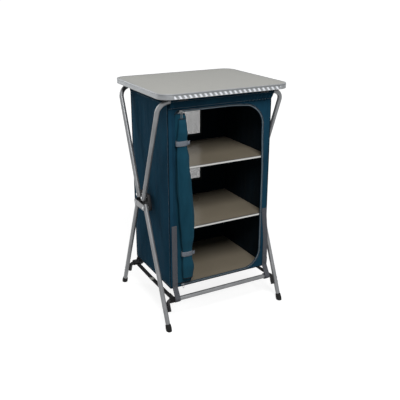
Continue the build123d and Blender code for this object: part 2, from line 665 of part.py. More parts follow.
# Straps between the cabinet and the rails.
def hanging_strap(side, hand):
    """Webbing down the cabinet's face, then out to the loop around the rail."""
    face = HALF_DEPTH + SEAT
    loop_radius = TUBE_RADIUS + SEAT + STRAP_THICKNESS
    meeting = math.radians(STRAP_MEETING_ANGLE)
    foot_y = RAIL_Y + loop_radius * math.cos(meeting)
    foot_z = RAIL_Z + loop_radius * math.sin(meeting) + SEAT
    turn_z = CABINET_BOTTOM + STRAP_TURN_RISE
    rise = turn_z - foot_z
    run = foot_y - face
    slant = math.hypot(rise, run)
    across = (STRAP_THICKNESS * rise / slant, STRAP_THICKNESS * run / slant)
    mitre = STRAP_THICKNESS * run / (slant + rise)
    points = (
        (face, STRAP_TOP),
        (face, turn_z),
        (foot_y, foot_z),
        (foot_y + across[0], foot_z + across[1]),
        (face + STRAP_THICKNESS, turn_z + mitre),
        (face + STRAP_THICKNESS, STRAP_TOP),
    )
    placed = [(side * y, z) for y, z in points]
    return profile_along_x(placed, hand * STRAP_X, STRAP_WIDTH)


save("front_straps", *[hanging_strap(FRONT, hand) for hand in SIDES])
save("rear_straps", *[hanging_strap(REAR, hand) for hand in SIDES])

SIDE_STRAP_Z = RAIL_Z + ELBOW_RADIUS + 2 * SEAT + STRAP_THICKNESS
side_x = (SIDE_STRAP_X - SIDE_STRAP_WIDTH / 2, SIDE_STRAP_X + SIDE_STRAP_WIDTH / 2)


def side_strap(hand):
    """Flat webbing that lies over both elbows' arms, from front to back."""
    tape = block(side_x, (-RAIL_Y, RAIL_Y), (SIDE_STRAP_Z, SIDE_STRAP_Z + STRAP_THICKNESS))
    return Rot(0, 0, 0 if hand == RIGHT else 180) * tape


def strap_band(hand):
    """A pale band around the middle of a side strap."""
    low, high = SIDE_STRAP_Z - SEAT, SIDE_STRAP_Z + STRAP_THICKNESS + SEAT
    x_low, x_high = side_x[0] - SEAT, side_x[1] + SEAT
    half = BAND_WIDTH / 2
    wall = BAND_THICKNESS
    band = block((x_low - wall, x_high + wall), (-half, half), (low - wall, high + wall))
    band -= block((x_low, x_high), (-BAND_WIDTH, BAND_WIDTH), (low, high))
    return Rot(0, 0, 0 if hand == RIGHT else 180) * band


save("side_straps", *[side_strap(hand) for hand in SIDES])
save("side_strap_bands", *[strap_band(hand) for hand in SIDES])
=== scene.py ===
import math

import bmesh
import bpy
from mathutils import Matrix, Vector, noise


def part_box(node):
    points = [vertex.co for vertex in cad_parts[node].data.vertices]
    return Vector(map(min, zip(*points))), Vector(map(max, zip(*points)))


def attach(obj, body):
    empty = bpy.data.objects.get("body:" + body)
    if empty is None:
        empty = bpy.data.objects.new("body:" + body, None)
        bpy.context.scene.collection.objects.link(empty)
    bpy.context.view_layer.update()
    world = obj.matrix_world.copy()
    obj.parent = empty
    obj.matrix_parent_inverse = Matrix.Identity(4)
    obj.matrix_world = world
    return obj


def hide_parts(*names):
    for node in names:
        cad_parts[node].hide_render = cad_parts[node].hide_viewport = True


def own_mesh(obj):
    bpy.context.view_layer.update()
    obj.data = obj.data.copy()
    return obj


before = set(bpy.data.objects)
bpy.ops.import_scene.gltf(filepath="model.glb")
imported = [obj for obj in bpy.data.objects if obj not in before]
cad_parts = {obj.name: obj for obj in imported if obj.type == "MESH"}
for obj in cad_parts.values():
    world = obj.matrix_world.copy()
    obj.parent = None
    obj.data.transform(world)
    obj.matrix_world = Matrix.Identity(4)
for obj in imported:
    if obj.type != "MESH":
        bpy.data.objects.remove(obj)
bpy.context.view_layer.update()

# Tube frames: two bent upper frames, four straight legs and two rails of 20 mm steel tube. Their satin grey
# paint has a faint orange peel, and is rubbed lighter in streaks where hands and straps slide along it.
ENDS = {"front": -1, "rear": 1}     # the side of each along Y
HANDS = {"left": -1, "right": 1}    # the side of each along X


def put(tree, kind, inputs=(), **settings):
    """Adds a node. An input is a plain value, or another node's output to link to."""
    node = tree.nodes.new(kind)
    for key, value in settings.items():
        setattr(node, key, value)
    for key, value in dict(inputs).items():
        if isinstance(value, bpy.types.NodeSocket):
            tree.links.new(value, node.inputs[key])
        else:
            node.inputs[key].default_value = value
    return node


def finish(name, **settings):
    """A new material, with values for the shader's own sockets."""
    material = bpy.data.materials.new(name)
    material.use_nodes = True
    shader = material.node_tree.nodes["Principled BSDF"]
    for socket, value in settings.items():
        shader.inputs[socket.replace("_", " ")].default_value = value
    return material, material.node_tree, shader


def object_places(tree, stretch=(1, 1, 1)):
    source = put(tree, "ShaderNodeTexCoord").outputs["Object"]
    return put(tree, "ShaderNodeMapping", {"Vector": source, "Scale": stretch}).outputs["Vector"]


def cloudy(tree, scale, detail=2.0, stretch=(1, 1, 1)):
    """Soft noise on Object coordinates."""
    inputs = {"Vector": object_places(tree, stretch), "Scale": scale, "Detail": detail}
    return put(tree, "ShaderNodeTexNoise", inputs).outputs["Fac"]


def between(tree, factor, low, high, low_at=0.3, high_at=0.7):
    """A colour that runs from one to another as the factor rises."""
    ramp = put(tree, "ShaderNodeValToRGB", {"Fac": factor})
    for element, place, colour in zip(ramp.color_ramp.elements, (low_at, high_at), (low, high)):
        element.position = place
        element.color = (*colour, 1)
    return ramp.outputs["Color"]


def spread(tree, factor, low, high):
    """A number that runs from low to high as the factor rises."""
    inputs = {"Value": factor, "From Min": 0.3, "From Max": 0.7, "To Min": low, "To Max": high}
    return put(tree, "ShaderNodeMapRange", inputs).outputs["Result"]


def combined(tree, first, second, operation="MULTIPLY"):
    return put(tree, "ShaderNodeMath", {0: first, 1: second}, operation=operation).outputs["Value"]


def coat(tree, shader, colour, roughness):
    tree.links.new(colour, shader.inputs["Base Color"])
    tree.links.new(roughness, shader.inputs["Roughness"])


def raise_grain(tree, shader, height, distance, strength=1.0):
    bump = put(tree, "ShaderNodeBump", {"Height": height, "Distance": distance, "Strength": strength})
    tree.links.new(bump.outputs["Normal"], shader.inputs["Normal"])


def grey_paint():
    material, tree, shader = finish("grey_paint", Metallic=0.55, Coat_Weight=0.15, Coat_Roughness=0.3)
    streaks = cloudy(tree, 3, 3, (60, 60, 4))
    coat(tree, shader, between(tree, cloudy(tree, 14, 4), (0.175, 0.18, 0.187), (0.24, 0.245, 0.252)),
         spread(tree, streaks, 0.30, 0.46))
    raise_grain(tree, shader, cloudy(tree, 700), 0.00012)
    return material


def dress(material, *names):
    """Gives CAD nodes their finish."""
    for name in names:
        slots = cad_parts[name].data.materials
        slots.clear()
        slots.append(material)


tube_paint = grey_paint()
for end in ENDS:
    dress(tube_paint, f"{end}_upper_frame", f"{end}_rail", *[f"{end}_{hand}_lower_leg" for hand in HANDS])

# Plastic and rubber fittings: elbows that join the rails to the legs, plugs in the open tube ends, the hub
# blocks and the cleats are moulded black plastic with a fine grain. The foot caps are duller black rubber.


def mottled(name, dark, light, smooth, rough, scale, detail, stretch=(1, 1, 1), **settings):
    """A material whose colour and roughness vary together in soft patches."""
    material, tree, shader = finish(name, **settings)
    patches = cloudy(tree, scale, detail, stretch)
    coat(tree, shader, between(tree, patches, dark, light), spread(tree, patches, smooth, rough))
    return material, tree, shader


def moulded(name, colour, worn, roughness, grain):
    material, tree, shader = mottled(name, colour, worn, roughness - 0.08, roughness + 0.08, 30, 3,
                                     Specular_IOR_Level=0.22)
    raise_grain(tree, shader, cloudy(tree, grain, 3), 0.0002)
    return material


black_plastic = moulded("black_plastic", (0.005, 0.005, 0.006), (0.012, 0.012, 0.013), 0.45, 900)
foot_rubber = moulded("foot_rubber", (0.005, 0.005, 0.005), (0.011, 0.011, 0.010), 0.75, 500)
for end in ENDS:
    dress(black_plastic, f"{end}_rail_elbows", f"{end}_lower_plugs", f"{end}_upper_plugs")

# Foot caps: each is a soft rubber cap pushed over the leg's end, with a bulged rim and a sole cut flat.
CAP_PROFILE = (
    (-0.020, 0.0112), (0.000, 0.0124), (0.005, 0.0131), (0.012, 0.0133), (0.019, 0.0129), (0.025, 0.0121),
    (0.0285, 0.0117), (0.0296, 0.0111), (0.0299, 0.0102), (0.0290, 0.0098),
)
CAP_SIDES = 36
SOLE_ROUNDING = 0.0022
SOLE_HEIGHT = 0.0002
SOLE_RIM_BELOW = 0.001


def middle_of(node):
    low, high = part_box(node)
    return (low + high) / 2


LEG_X = middle_of("front_right_lower_leg").x
FOOT_Y, PIN_Y, PIN_Z = 0.260, 0.044, 0.503


def placed(name, data):
    thing = bpy.data.objects.new(name, data)
    bpy.context.scene.collection.objects.link(thing)
    return thing


def mesh_piece(name, shape, material):
    mesh = bpy.data.meshes.new(name)
    bmesh.ops.recalc_face_normals(shape, faces=shape.faces)
    shape.to_mesh(mesh)
    shape.free()
    mesh.materials.append(material)
    return placed(name, mesh)


def round_off(piece, width, angle=40, segments=3):
    """Bevels a piece's sharp edges."""
    bevel = piece.modifiers.new("rounding", "BEVEL")
    bevel.width = width
    bevel.segments = segments
    bevel.limit_method = "ANGLE"
    bevel.angle_limit = math.radians(angle)
    piece.data.shade_smooth()
    return piece


def settle(piece, body, node=None):
    """Gives a piece its body, and hides the CAD node that it stands for."""
    if node:
        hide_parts(node)
    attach(piece, body)


def join_rings(shape, near, far):
    """Faces between two rings of as many corners."""
    for index in range(len(near)):
        after = (index + 1) % len(near)
        shape.faces.new((near[index], near[after], far[after], far[index]))


def turned(shape, centre, axis, profile):
    """Adds rings round an axis: each is (distance along the axis, radius)."""
    aside = Vector((1, 0, 0))
    ahead = axis.cross(aside)
    below = None
    for along, radius in profile:
        ring = []
        for index in range(CAP_SIDES):
            turn = math.tau * index / CAP_SIDES
            outward = aside * math.cos(turn) + ahead * math.sin(turn)
            ring.append(shape.verts.new(centre + axis * along + radius * outward))
        if below:
            join_rings(shape, below, ring)
        below = ring


for end, side in ENDS.items():
    shape = bmesh.new()
    for sign in HANDS.values():
        foot = Vector((sign * LEG_X, side * FOOT_Y, 0))
        axis = (Vector((sign * LEG_X, side * PIN_Y, PIN_Z)) - foot).normalized()
        turned(shape, foot, axis, CAP_PROFILE)
    everything = shape.verts[:] + shape.edges[:] + shape.faces[:]
    bmesh.ops.bisect_plane(shape, geom=everything, plane_co=(0, 0, SOLE_HEIGHT), plane_no=(0, 0, 1),
                           clear_inner=True)
    rim = [edge for edge in shape.edges
           if edge.is_boundary and all(corner.co.z < SOLE_RIM_BELOW for corner in edge.verts)]
    bmesh.ops.holes_fill(shape, edges=rim)
    feet = round_off(mesh_piece(f"{end}_foot_caps", shape, foot_rubber), SOLE_ROUNDING)
    settle(feet, f"{end}_lower_frame", f"{end}_feet")

# Hub blocks: moulded plastic between the legs and the cabinet. Each holds the pins of four legs, so it is
# wide at its foot and narrower at its head, with rounded edges and a shallow sunk panel on its outer face.
HUB_HALF = (
    (0.0570, 0.4880), (0.0600, 0.4950), (0.0590, 0.5080),
    (0.0500, 0.5250), (0.0430, 0.5480), (0.0360, 0.5570),
)
HUB_PANEL_RIM = 0.006
HUB_PANEL_DEPTH = 0.0015


def prism(shape, outline, *ends):
    """Adds a solid between two places along X, with its outline in (y, z), and returns its end faces."""
    faces = [shape.faces.new([shape.verts.new((x, y, z)) for y, z in outline]) for x in ends]
    join_rings(shape, faces[0].verts, faces[1].verts)
    return faces


for hand, sign in HANDS.items():
    low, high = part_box(f"{hand}_hub_block")
    shape = bmesh.new()
    mirrored = [(-y, z) for y, z in HUB_HALF]
    outline = [mirrored[0], *HUB_HALF, *mirrored[:0:-1]]
    outer = prism(shape, outline, *sorted((low.x, high.x), key=abs))[1]
    bmesh.ops.recalc_face_normals(shape, faces=shape.faces)
    bmesh.ops.inset_region(shape, faces=[outer], thickness=HUB_PANEL_RIM, depth=0)
    bmesh.ops.translate(shape, verts=outer.verts, vec=(-sign * HUB_PANEL_DEPTH, 0, 0))
    block = round_off(mesh_piece(f"{hand}_hub_moulding", shape, black_plastic), 0.0016)
    settle(block, "hub", f"{hand}_hub_block")

# Hub plates, pins, rivets and screws: the plate over the two lower legs is pressed steel in the tubes' grey
# paint. Pins, rivets and screws are zinc-plated steel, with a slightly cloudy plating.
steel = mottled("plated_steel", (0.42, 0.43, 0.44), (0.60, 0.61, 0.62), 0.25, 0.45, 120, 4, Metallic=1.0)[0]
dress(tube_paint, "left_hub_plate", "right_hub_plate")
dress(steel, "left_hub_pins", "right_hub_pins", "front_elbow_rivets", "rear_elbow_rivets", "cleat_screws")

# Cabinet sides: each is one sheet of coated polyester, hung from the roof seam and held out by the shelves,
# so that it bellies a little between them. Its outside is deep petrol blue, its coated inside nearly black.
CLOTH_THICKNESS = 0.0011
BROAD_FOLD = 0.0070
NARROW_FOLD = 0.0030
SEAM_REACH = 0.045

side_low, side_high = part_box("right_side_panel")
BOX_HALF_WIDTH = side_high.x
BOX_BOTTOM, BOX_TOP = side_low.z, side_high.z
BOX_HALF_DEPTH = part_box("back_panel")[1].y


def ease(value):
    """Runs smoothly from 0 at 0 to 1 at 1."""
    value = min(max(value, 0.0), 1.0)
    return value * value * (3 - 2 * value)


def steps(low, high, count):
    return [low + (high - low) * index / count for index in range(count + 1)]


def wander(*place):
    """Smooth noise at a place, from -1 to 1."""
    return noise.noise(Vector(place))


def creases(across, along, seed):
    """The height of soft folds that run along a cloth, from 0 to about the two fold heights added."""
    broad = wander(across * 13, along * 2.1, seed)
    narrow = wander(across * 46, along * 6.0, seed + 5)
    return BROAD_FOLD * (0.5 + 0.5 * broad) + NARROW_FOLD * (0.5 + 0.5 * narrow)


def crossed_threads(tree, across, along):
    """Two crossed sets of threads on the piece's own UV map in metres."""
    flat = put(tree, "ShaderNodeUVMap", uv_map="metres").outputs["UV"]
    threads = [put(tree, "ShaderNodeTexWave", {"Vector": flat, "Scale": scale}, bands_direction=direction)
               for direction, scale in (("X", across), ("Y", along))]
    return combined(tree, threads[0].outputs["Fac"], threads[1].outputs["Fac"])


def coated_cloth(name, dark, light, sheen):
    """Plain weave, with threads 0.9 mm apart."""
    material, tree, shader = mottled(name, dark, light, 0.66, 0.82, 16, 4, (1, 1, 0.4), Sheen_Weight=sheen,
                                     Sheen_Roughness=0.5, Specular_IOR_Level=0.015)
    raise_grain(tree, shader, crossed_threads(tree, 350, 350), 0.0003, 0.6)
    return material


blue_cloth = coated_cloth("blue_cloth", (0.0065, 0.032, 0.058), (0.0105, 0.050, 0.086), 0.01)
cloth_back = coated_cloth("cloth_back", (0.0020, 0.0055, 0.0085), (0.0035, 0.010, 0.0155), 0.02)


def piece_of(name, points, faces, *materials):
    mesh = bpy.data.meshes.new(name)
    mesh.from_pydata(points, [], faces)
    for material in materials:
        mesh.materials.append(material)
    mesh.shade_smooth()
    return placed(name, mesh)


def running(points):
    """How far along a row each of its points lies."""
    total = [0.0]
    for before, after in zip(points, points[1:]):
        total.append(total[-1] + (Vector(after) - Vector(before)).length)
    return total


def cloth(name, rows, *materials, keep=lambda i, j: True):
    """A sheet through rows of points, with a UV map in metres."""
    count = len(rows[0])
    across = [running(row) for row in rows]
    along = [running(column) for column in zip(*rows)]
    faces = []
    for i in range(len(rows) - 1):
        for j in range(count - 1):
            if keep(i, j):
                first = i * count + j
                faces.append((first, first + 1, first + count + 1, first + count))
    used = sorted({corner for face in faces for corner in face})
    place = {corner: index for index, corner in enumerate(used)}
    points = [rows[corner // count][corner % count] for corner in used]
    piece = piece_of(name, points, [[place[corner] for corner in face] for face in faces], *materials)
    layer = piece.data.uv_layers.new(name="metres")
    for loop in piece.data.loops:
        i, j = divmod(used[loop.vertex_index], count)
        layer.data[loop.index].uv = (across[i][j], along[j][i])
    return piece


def thicken(piece, thickness, inner_finish=0):
    """Gives a sheet its thickness, inwards, with another finish on its back."""
    solid = piece.modifiers.new("thickness", "SOLIDIFY")
    solid.thickness = thickness
    solid.offset = -1
    solid.material_offset = inner_finish
    return piece


def on_cabinet(piece, node=None):
    """Settles a soft piece on the hub, with a mesh of its own."""
    settle(piece, "hub", node)
    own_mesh(piece)


for hand, sign in HANDS.items():
    side_rows = []
    for z in steps(BOX_BOTTOM, BOX_TOP, 84):
        row = []
        for y in steps(-sign * BOX_HALF_DEPTH, sign * BOX_HALF_DEPTH, 56):
            to_seam = min(BOX_HALF_DEPTH - abs(y), z - BOX_BOTTOM, BOX_TOP - z)
            belly = creases(y, z, 3 + sign) * ease(to_seam / SEAM_REACH)
            row.append((sign * (BOX_HALF_WIDTH + belly), y, z))
        side_rows.append(row)
    side = thicken(cloth(f"{hand}_side_cloth", side_rows, blue_cloth, cloth_back), CLOTH_THICKNESS, 1)
    on_cabinet(side, f"{hand}_side_panel")

# Cabinet front: one sheet with a rounded door opening cut out of it. It is gathered into small upright
# folds at the upper right, where it is eased into the top seam, and it lies flat where the zip is sewn
# along the opening.
ZIP_WIDTH = 0.006
DOOR_RADII = (0.085, 0.085, 0.014, 0.014)
FLAT_BESIDE_ZIP = 0.0105
RISE_FROM_ZIP = 0.007
RISE_FROM_SEAM = 0.006
FRONT_STEP = 0.0028
FRONT_SHARE = 0.40
GATHER_PITCH = 0.015
GATHER_HEIGHT = 0.0028
CORNER_SAG = 0.0085
CORNER_PULL = 0.0060
PLEAT_X = -0.2315
PLEAT_HEIGHT = 0.0035
PLEAT_WIDTH = 0.0045

chain_low, chain_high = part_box("door_zip_chain")
DOOR_HALF_WIDTH = chain_high.x - ZIP_WIDTH
DOOR_BOTTOM = chain_low.z + ZIP_WIDTH
DOOR_TOP = chain_high.z - ZIP_WIDTH


def rounded(low, high, radii, counts, growth=0.0):
    """Points round a rectangle and their outward directions, anticlockwise from its lower right corner.
    Each corner has its radius and its count of steps. Growth moves the points outwards."""
    line = []
    for index, (radius, count) in enumerate(zip(radii, counts)):
        x = high[0] - radius if index < 2 else low[0] + radius
        y = high[1] - radius if index in (1, 2) else low[1] + radius
        for turn in steps(math.radians(90 * index - 90), math.radians(90 * index), count):
            outward = Vector((math.cos(turn), math.sin(turn)))
            line.append((Vector((x, y)) + outward * (radius + growth), outward))
    return line


def fill_in(line, step_at):
    """A closed line with more points along it, a step apart that may depend on the outward direction."""
    filled = []
    for (point, outward), (after, _) in zip(line, line[1:] + line[:1]):
        count = max(1, round((after - point).length / step_at(outward)))
        filled += [(point.lerp(after, index / count), outward) for index in range(count)]
    return filled + filled[:1]


def slack(point):
    """The gathered cloth at the upper right pulls the opening's corner down and inwards."""
    down = CORNER_SAG * ease((point.x - 0.04) / 0.14) * ease((point.y - 0.72) / 0.16)
    inwards = CORNER_PULL * ease((point.x - 0.10) / 0.10) * ease((point.y - 0.62) / 0.22)
    return Vector((inwards, down))


def door_line(growth, step):
    """Points round the door opening and their outward directions, in (x, z)."""
    counts = [max(4, round(radius * math.pi / 2 / step)) for radius in DOOR_RADII]
    line = rounded((-DOOR_HALF_WIDTH, DOOR_BOTTOM), (DOOR_HALF_WIDTH, DOOR_TOP), DOOR_RADII, counts, growth)
    return [(point - slack(point), outward) for point, outward in fill_in(line, lambda outward: step)]


def to_box_edge(point, outward):
    """Where a line from the door opening, square to it, meets the edge of the front."""
    reach = []
    if abs(outward.x) > 1e-6:
        reach.append((math.copysign(BOX_HALF_WIDTH, outward.x) - point.x) / outward.x)
    if abs(outward.y) > 1e-6:
        reach.append(((BOX_TOP if outward.y > 0 else BOX_BOTTOM) - point.y) / outward.y)
    return point + outward * min(reach)


def front_relief(x, z):
    """How far the front stands out of its plane."""
    beside_zip = max(abs(x) - DOOR_HALF_WIDTH, DOOR_BOTTOM - z, z - DOOR_TOP) - FLAT_BESIDE_ZIP
    beside_seam = min(BOX_HALF_WIDTH - abs(x), z - BOX_BOTTOM)
    upper_right = ease((x - 0.06) / 0.1) * ease((z - 0.80) / 0.12)
    gathers = GATHER_HEIGHT * upper_right * (1 + math.sin(math.tau * x / GATHER_PITCH + 3 * z))
    pleat_x = PLEAT_X + 0.002 * wander(z * 6, 0, 17)
    pleat = PLEAT_HEIGHT * math.exp(-((x - pleat_x) / PLEAT_WIDTH) ** 2) * ease((z - 0.47) / 0.06)
    belly = FRONT_SHARE * creases(x * 1.3, z * 0.7, 11) + gathers + pleat
    return belly * ease(beside_zip / RISE_FROM_ZIP) * ease(beside_seam / RISE_FROM_SEAM)


opening = door_line(0, FRONT_STEP)[::-1]
front_rows = []
for share in steps(0, 1, 14):
    row = []
    for point, outward in opening:
        x, z = point.lerp(to_box_edge(point, outward), share)
        row.append((x, -BOX_HALF_DEPTH - front_relief(x, z), z))
    front_rows.append(row)
front = thicken(cloth("front_cloth", front_rows, blue_cloth, cloth_back), CLOTH_THICKNESS, 1)
on_cabinet(front, "front_panel")

# Cabinet back: one sheet with two windows cut out of it, and each window's edge bound with a folded strip
# of the same cloth, sewn down with two rows of pale thread.
WINDOW_HEM = 0.010
WINDOWS = {"lower": (0.510, 0.664), "upper": (0.735, 0.889)}
WINDOW_CORNER = 0.006
BINDING_WIDTH = 0.009
BINDING_FOLD = (
    (-0.0012, -0.0004), (-0.0012, 0.0012), (0, 0.0018),
    (BINDING_WIDTH - 0.001, 0.0016), (BINDING_WIDTH, 0.0002),
)
STITCH_PITCH = 0.0042
STITCH_LENGTH = 0.0030
STITCH_RADIUS = 0.00032

WINDOW_HALF_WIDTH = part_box("mesh_windows")[1].x - WINDOW_HEM
thread = finish("pale_thread", Base_Color=(0.20, 0.22, 0.25, 1), Roughness=0.6, Sheen_Weight=0.3)[0]


def to_window(x, z):
    """How far a place on the back is from the nearest window's edge."""
    return min(max(abs(x) - WINDOW_HALF_WIDTH, low - z, z - high) for low, high in WINDOWS.values())


def back_relief(x, z):
    free = min(to_window(x, z) - BINDING_WIDTH, BOX_HALF_WIDTH - abs(x), z - BOX_BOTTOM, BOX_TOP - z)
    return creases(x, z, 23) * ease(free / SEAM_REACH)


def lines_with(low, high, count, *marks):
    """Even steps from low to high, with the nearest ones moved onto the marks."""
    line = steps(low, high, count)
    for mark in marks:
        nearest = min(range(len(line)), key=lambda index: abs(line[index] - mark))
        line[nearest] = mark
    return line


def node_tree(name, **sizes):
    """A Geometry Nodes tree with a geometry, named sizes, and its two ends."""
    tree = bpy.data.node_groups.new(name, "GeometryNodeTree")
    tree.interface.new_socket("Geometry", in_out="INPUT", socket_type="NodeSocketGeometry")
    for label, size in sizes.items():
        socket = tree.interface.new_socket(label, in_out="INPUT", socket_type="NodeSocketFloat")
        socket.default_value = size
    tree.interface.new_socket("Geometry", in_out="OUTPUT", socket_type="NodeSocketGeometry")
    return tree, put(tree, "NodeGroupInput"), put(tree, "NodeGroupOutput")


def close_tree(tree, last, instances, material):
    solid = put(tree, "GeometryNodeRealizeInstances", {"Geometry": instances}).outputs["Geometry"]
    painted = put(tree, "GeometryNodeSetMaterial", {"Geometry": solid, "Material": material})
    tree.links.new(painted.outputs["Geometry"], last.inputs["Geometry"])
    return tree


def grown(name, tree, start):
    """The plain mesh that a tree makes from a starting mesh."""
    piece = placed(name, start)
    piece.modifiers.new("grow", "NODES").node_group = tree
    shape = piece.evaluated_get(bpy.context.evaluated_depsgraph_get())
    mesh = bpy.data.meshes.new_from_object(shape)
    piece.modifiers.clear()
    piece.data = mesh
    return piece


def row_along(tree, line, pitch, shape):
    """Places a shape along each line, its Z along the line and its Y to the front."""
    curve = put(tree, "GeometryNodeMeshToCurve", {"Mesh": line}).outputs["Curve"]
    spots = put(tree, "GeometryNodeCurveToPoints", {"Curve": curve, "Length": pitch}, mode="LENGTH")
    along = put(tree, "FunctionNodeAlignRotationToVector", {"Vector": spots.outputs["Tangent"]}, axis="Z")
    facing = put(tree, "FunctionNodeAlignRotationToVector",
                 {"Rotation": along.outputs["Rotation"], "Vector": (0, -1, 0)}, axis="Y", pivot_axis="Z")
    return put(tree, "GeometryNodeInstanceOnPoints", {
        "Points": spots.outputs["Points"], "Instance": shape, "Rotation": facing.outputs["Rotation"],
    }).outputs["Instances"]


def stitch_tree():
    tree, first, last = node_tree("stitches", Pitch=STITCH_PITCH, Length=STITCH_LENGTH, Radius=STITCH_RADIUS)
    sizes = first.outputs
    stitch = put(tree, "GeometryNodeMeshCylinder",
                 {"Vertices": 6, "Radius": sizes["Radius"], "Depth": sizes["Length"]}).outputs["Mesh"]
    row = row_along(tree, sizes["Geometry"], sizes["Pitch"], stitch)
    return close_tree(tree, last, row, thread)


stitches = stitch_tree()


def line_mesh(name, *lines):
    """A mesh of edges through each line's points."""
    points, edges = [], []
    for line in lines:
        edges += [(len(points) + index, len(points) + index + 1) for index in range(len(line) - 1)]
        points += line
    mesh = bpy.data.meshes.new(name)
    mesh.from_pydata(points, edges, [])
    return mesh


def sew(name, *lines):
    return grown(name, stitches, line_mesh(name, *lines))


back_x = lines_with(-BOX_HALF_WIDTH, BOX_HALF_WIDTH, 70, -WINDOW_HALF_WIDTH, WINDOW_HALF_WIDTH)
back_z = lines_with(BOX_BOTTOM, BOX_TOP, 116, *[edge for window in WINDOWS.values() for edge in window])
back_rows = [[(-x, BOX_HALF_DEPTH + back_relief(x, z), z) for x in back_x] for z in back_z]


def beyond_windows(i, j):
    return to_window((back_x[j] + back_x[j + 1]) / 2, (back_z[i] + back_z[i + 1]) / 2) > 0


back = cloth("back_cloth", back_rows, blue_cloth, cloth_back, keep=beyond_windows)
thicken(back, CLOTH_THICKNESS, 1)
on_cabinet(back, "back_panel")


def window_line(low, high, growth, lift):
    """A closed line round a window, grown beyond its edge and lifted off the back."""
    corners = (-WINDOW_HALF_WIDTH, low), (WINDOW_HALF_WIDTH, high)
    outline = rounded(*corners, 4 * [WINDOW_CORNER], 4 * [5], growth)
    line = [(point.x, BOX_HALF_DEPTH + lift, point.y) for point, _ in outline]
    return line + line[:1]


for name, (low, high) in WINDOWS.items():
    bands = [window_line(low, high, growth, lift) for growth, lift in BINDING_FOLD]
    binding = thicken(cloth(f"{name}_window_binding", bands, blue_cloth), 0.0008)
    on_cabinet(binding)
    seam_rows = [window_line(low, high, growth, 0.0019) for growth in (0.0015, BINDING_WIDTH - 0.002)]
    on_cabinet(sew(f"{name}_window_stitches", *seam_rows))

# Window net: a knitted polyester net with square holes, sewn behind each window's binding. Its strands
# are soft, a little uneven, and meet in small knots. Their dark colour is painted shade from the cabinet's
# inside.
NET_PITCH = 0.0046
NET_STRAND = 0.00112
NET_SAG = 0.0012
NET_UNEVEN = 0.0005
NET_BEHIND = 0.0022
NET_REACH = 0.006


def net_tree(material):
    tree, first, last = node_tree("net", Strand=NET_STRAND)
    strands = put(tree, "GeometryNodeMeshToCurve", {"Mesh": first.outputs["Geometry"]}).outputs["Curve"]
    section = put(tree, "GeometryNodeCurvePrimitiveCircle",
                  {"Resolution": 5, "Radius": first.outputs["Strand"]}).outputs["Curve"]
    solid = put(tree, "GeometryNodeCurveToMesh",
                {"Curve": strands, "Profile Curve": section, "Fill Caps": True}).outputs["Mesh"]
    return close_tree(tree, last, solid, material)


def net_place(x, z):
    sag = NET_SAG * (0.5 + 0.5 * wander(x * 9, z * 9, 41))
    uneven = NET_UNEVEN * wander(x * 300, z * 300, 7)
    return (x + uneven, BOX_HALF_DEPTH - NET_BEHIND - sag, z + uneven)


def net_lines(low, high):
    return steps(low - NET_REACH, high + NET_REACH, round((high - low) / NET_PITCH) + 2)


# The net's dark colour is painted shade: its strands face the shaded inside of the cabinet.
shade_darkened_net = mottled("shade_darkened_net", (0.020, 0.021, 0.022), (0.050, 0.052, 0.055), 0.55, 0.8, 420, 2,
                     Specular_IOR_Level=0.15)[0]
net = net_tree(shade_darkened_net)
for name, (low, high) in WINDOWS.items():
    columns, levels = net_lines(-WINDOW_HALF_WIDTH, WINDOW_HALF_WIDTH), net_lines(low, high)
    strands = [[net_place(x, z) for z in levels] for x in columns]
    strands += [[net_place(x, z) for x in columns] for z in levels]
    pane = grown(f"{name}_shade_darkened_net", net, line_mesh(f"{name}_net", *strands))
    on_cabinet(pane, "mesh_windows" if name == "lower" else None)

# Roof, floor and shelf slings: flat sheets of the same cloth. The roof and floor are sewn to all four
# sides, and each sling runs under a shelf board and is sewn to the sides and the front.
for name, node, body, dip, held_by in (
    ("cabinet_roof_cloth", "cabinet_roof", "hub", 0.0040, "left_side_cloth"),
    ("cabinet_floor_cloth", "cabinet_floor", "hub", 0.0030, "left_side_cloth"),
    ("upper_sling_cloth", "upper_shelf_sling", "upper_shelf", 0.0006, "upper_shelf"),
    ("lower_sling_cloth", "lower_shelf_sling", "lower_shelf", 0.0006, "lower_shelf"),
):
    low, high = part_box(node)
    level_rows = []
    for y in steps(low.y, high.y, 30):
        row = []
        for x in steps(low.x, high.x, 40):
            to_seam = min(x - low.x, high.x - x, y - low.y, high.y - y)
            row.append((x, y, high.z - dip * ease(to_seam / 0.05) * (0.6 + 0.4 * wander(x * 8, y * 8, 3))))
        level_rows.append(row)
    level_cloth = thicken(cloth(name, level_rows, cloth_back), CLOTH_THICKNESS)
    if body == "hub":
        on_cabinet(level_cloth, node)
    else:
        settle(level_cloth, body, node)

# Cabinet seams: the edges are bound with a thin corded piping in darker cloth, sewn in between the panels,
# with a row of stitches 7 mm inside each edge.
PIPING_RADIUS = 0.0019
PIPING_CORNER = 0.004
SEAM_MARGIN = 0.007

piping_cloth = coated_cloth("piping_cloth", (0.002, 0.007, 0.012), (0.004, 0.014, 0.024), 0.02)


def tube_along(name, lines, radius, material, closed=False):
    """Round cord along lines, as a mesh."""
    curve = bpy.data.curves.new(name, "CURVE")
    curve.dimensions = "3D"
    curve.bevel_depth = radius
    curve.bevel_resolution = 2
    curve.use_fill_caps = not closed
    for line in lines:
        spline = curve.splines.new("POLY")
        spline.points.add(len(line) - 1)
        for point, place in zip(spline.points, line):
            point.co = (*place, 1)
        spline.use_cyclic_u = closed
    holder = bpy.data.objects.new(name, curve)
    mesh = bpy.data.meshes.new_from_object(holder)
    bpy.data.objects.remove(holder)
    mesh.materials.clear()
    mesh.materials.append(material)
    mesh.shade_smooth()
    return placed(name, mesh)


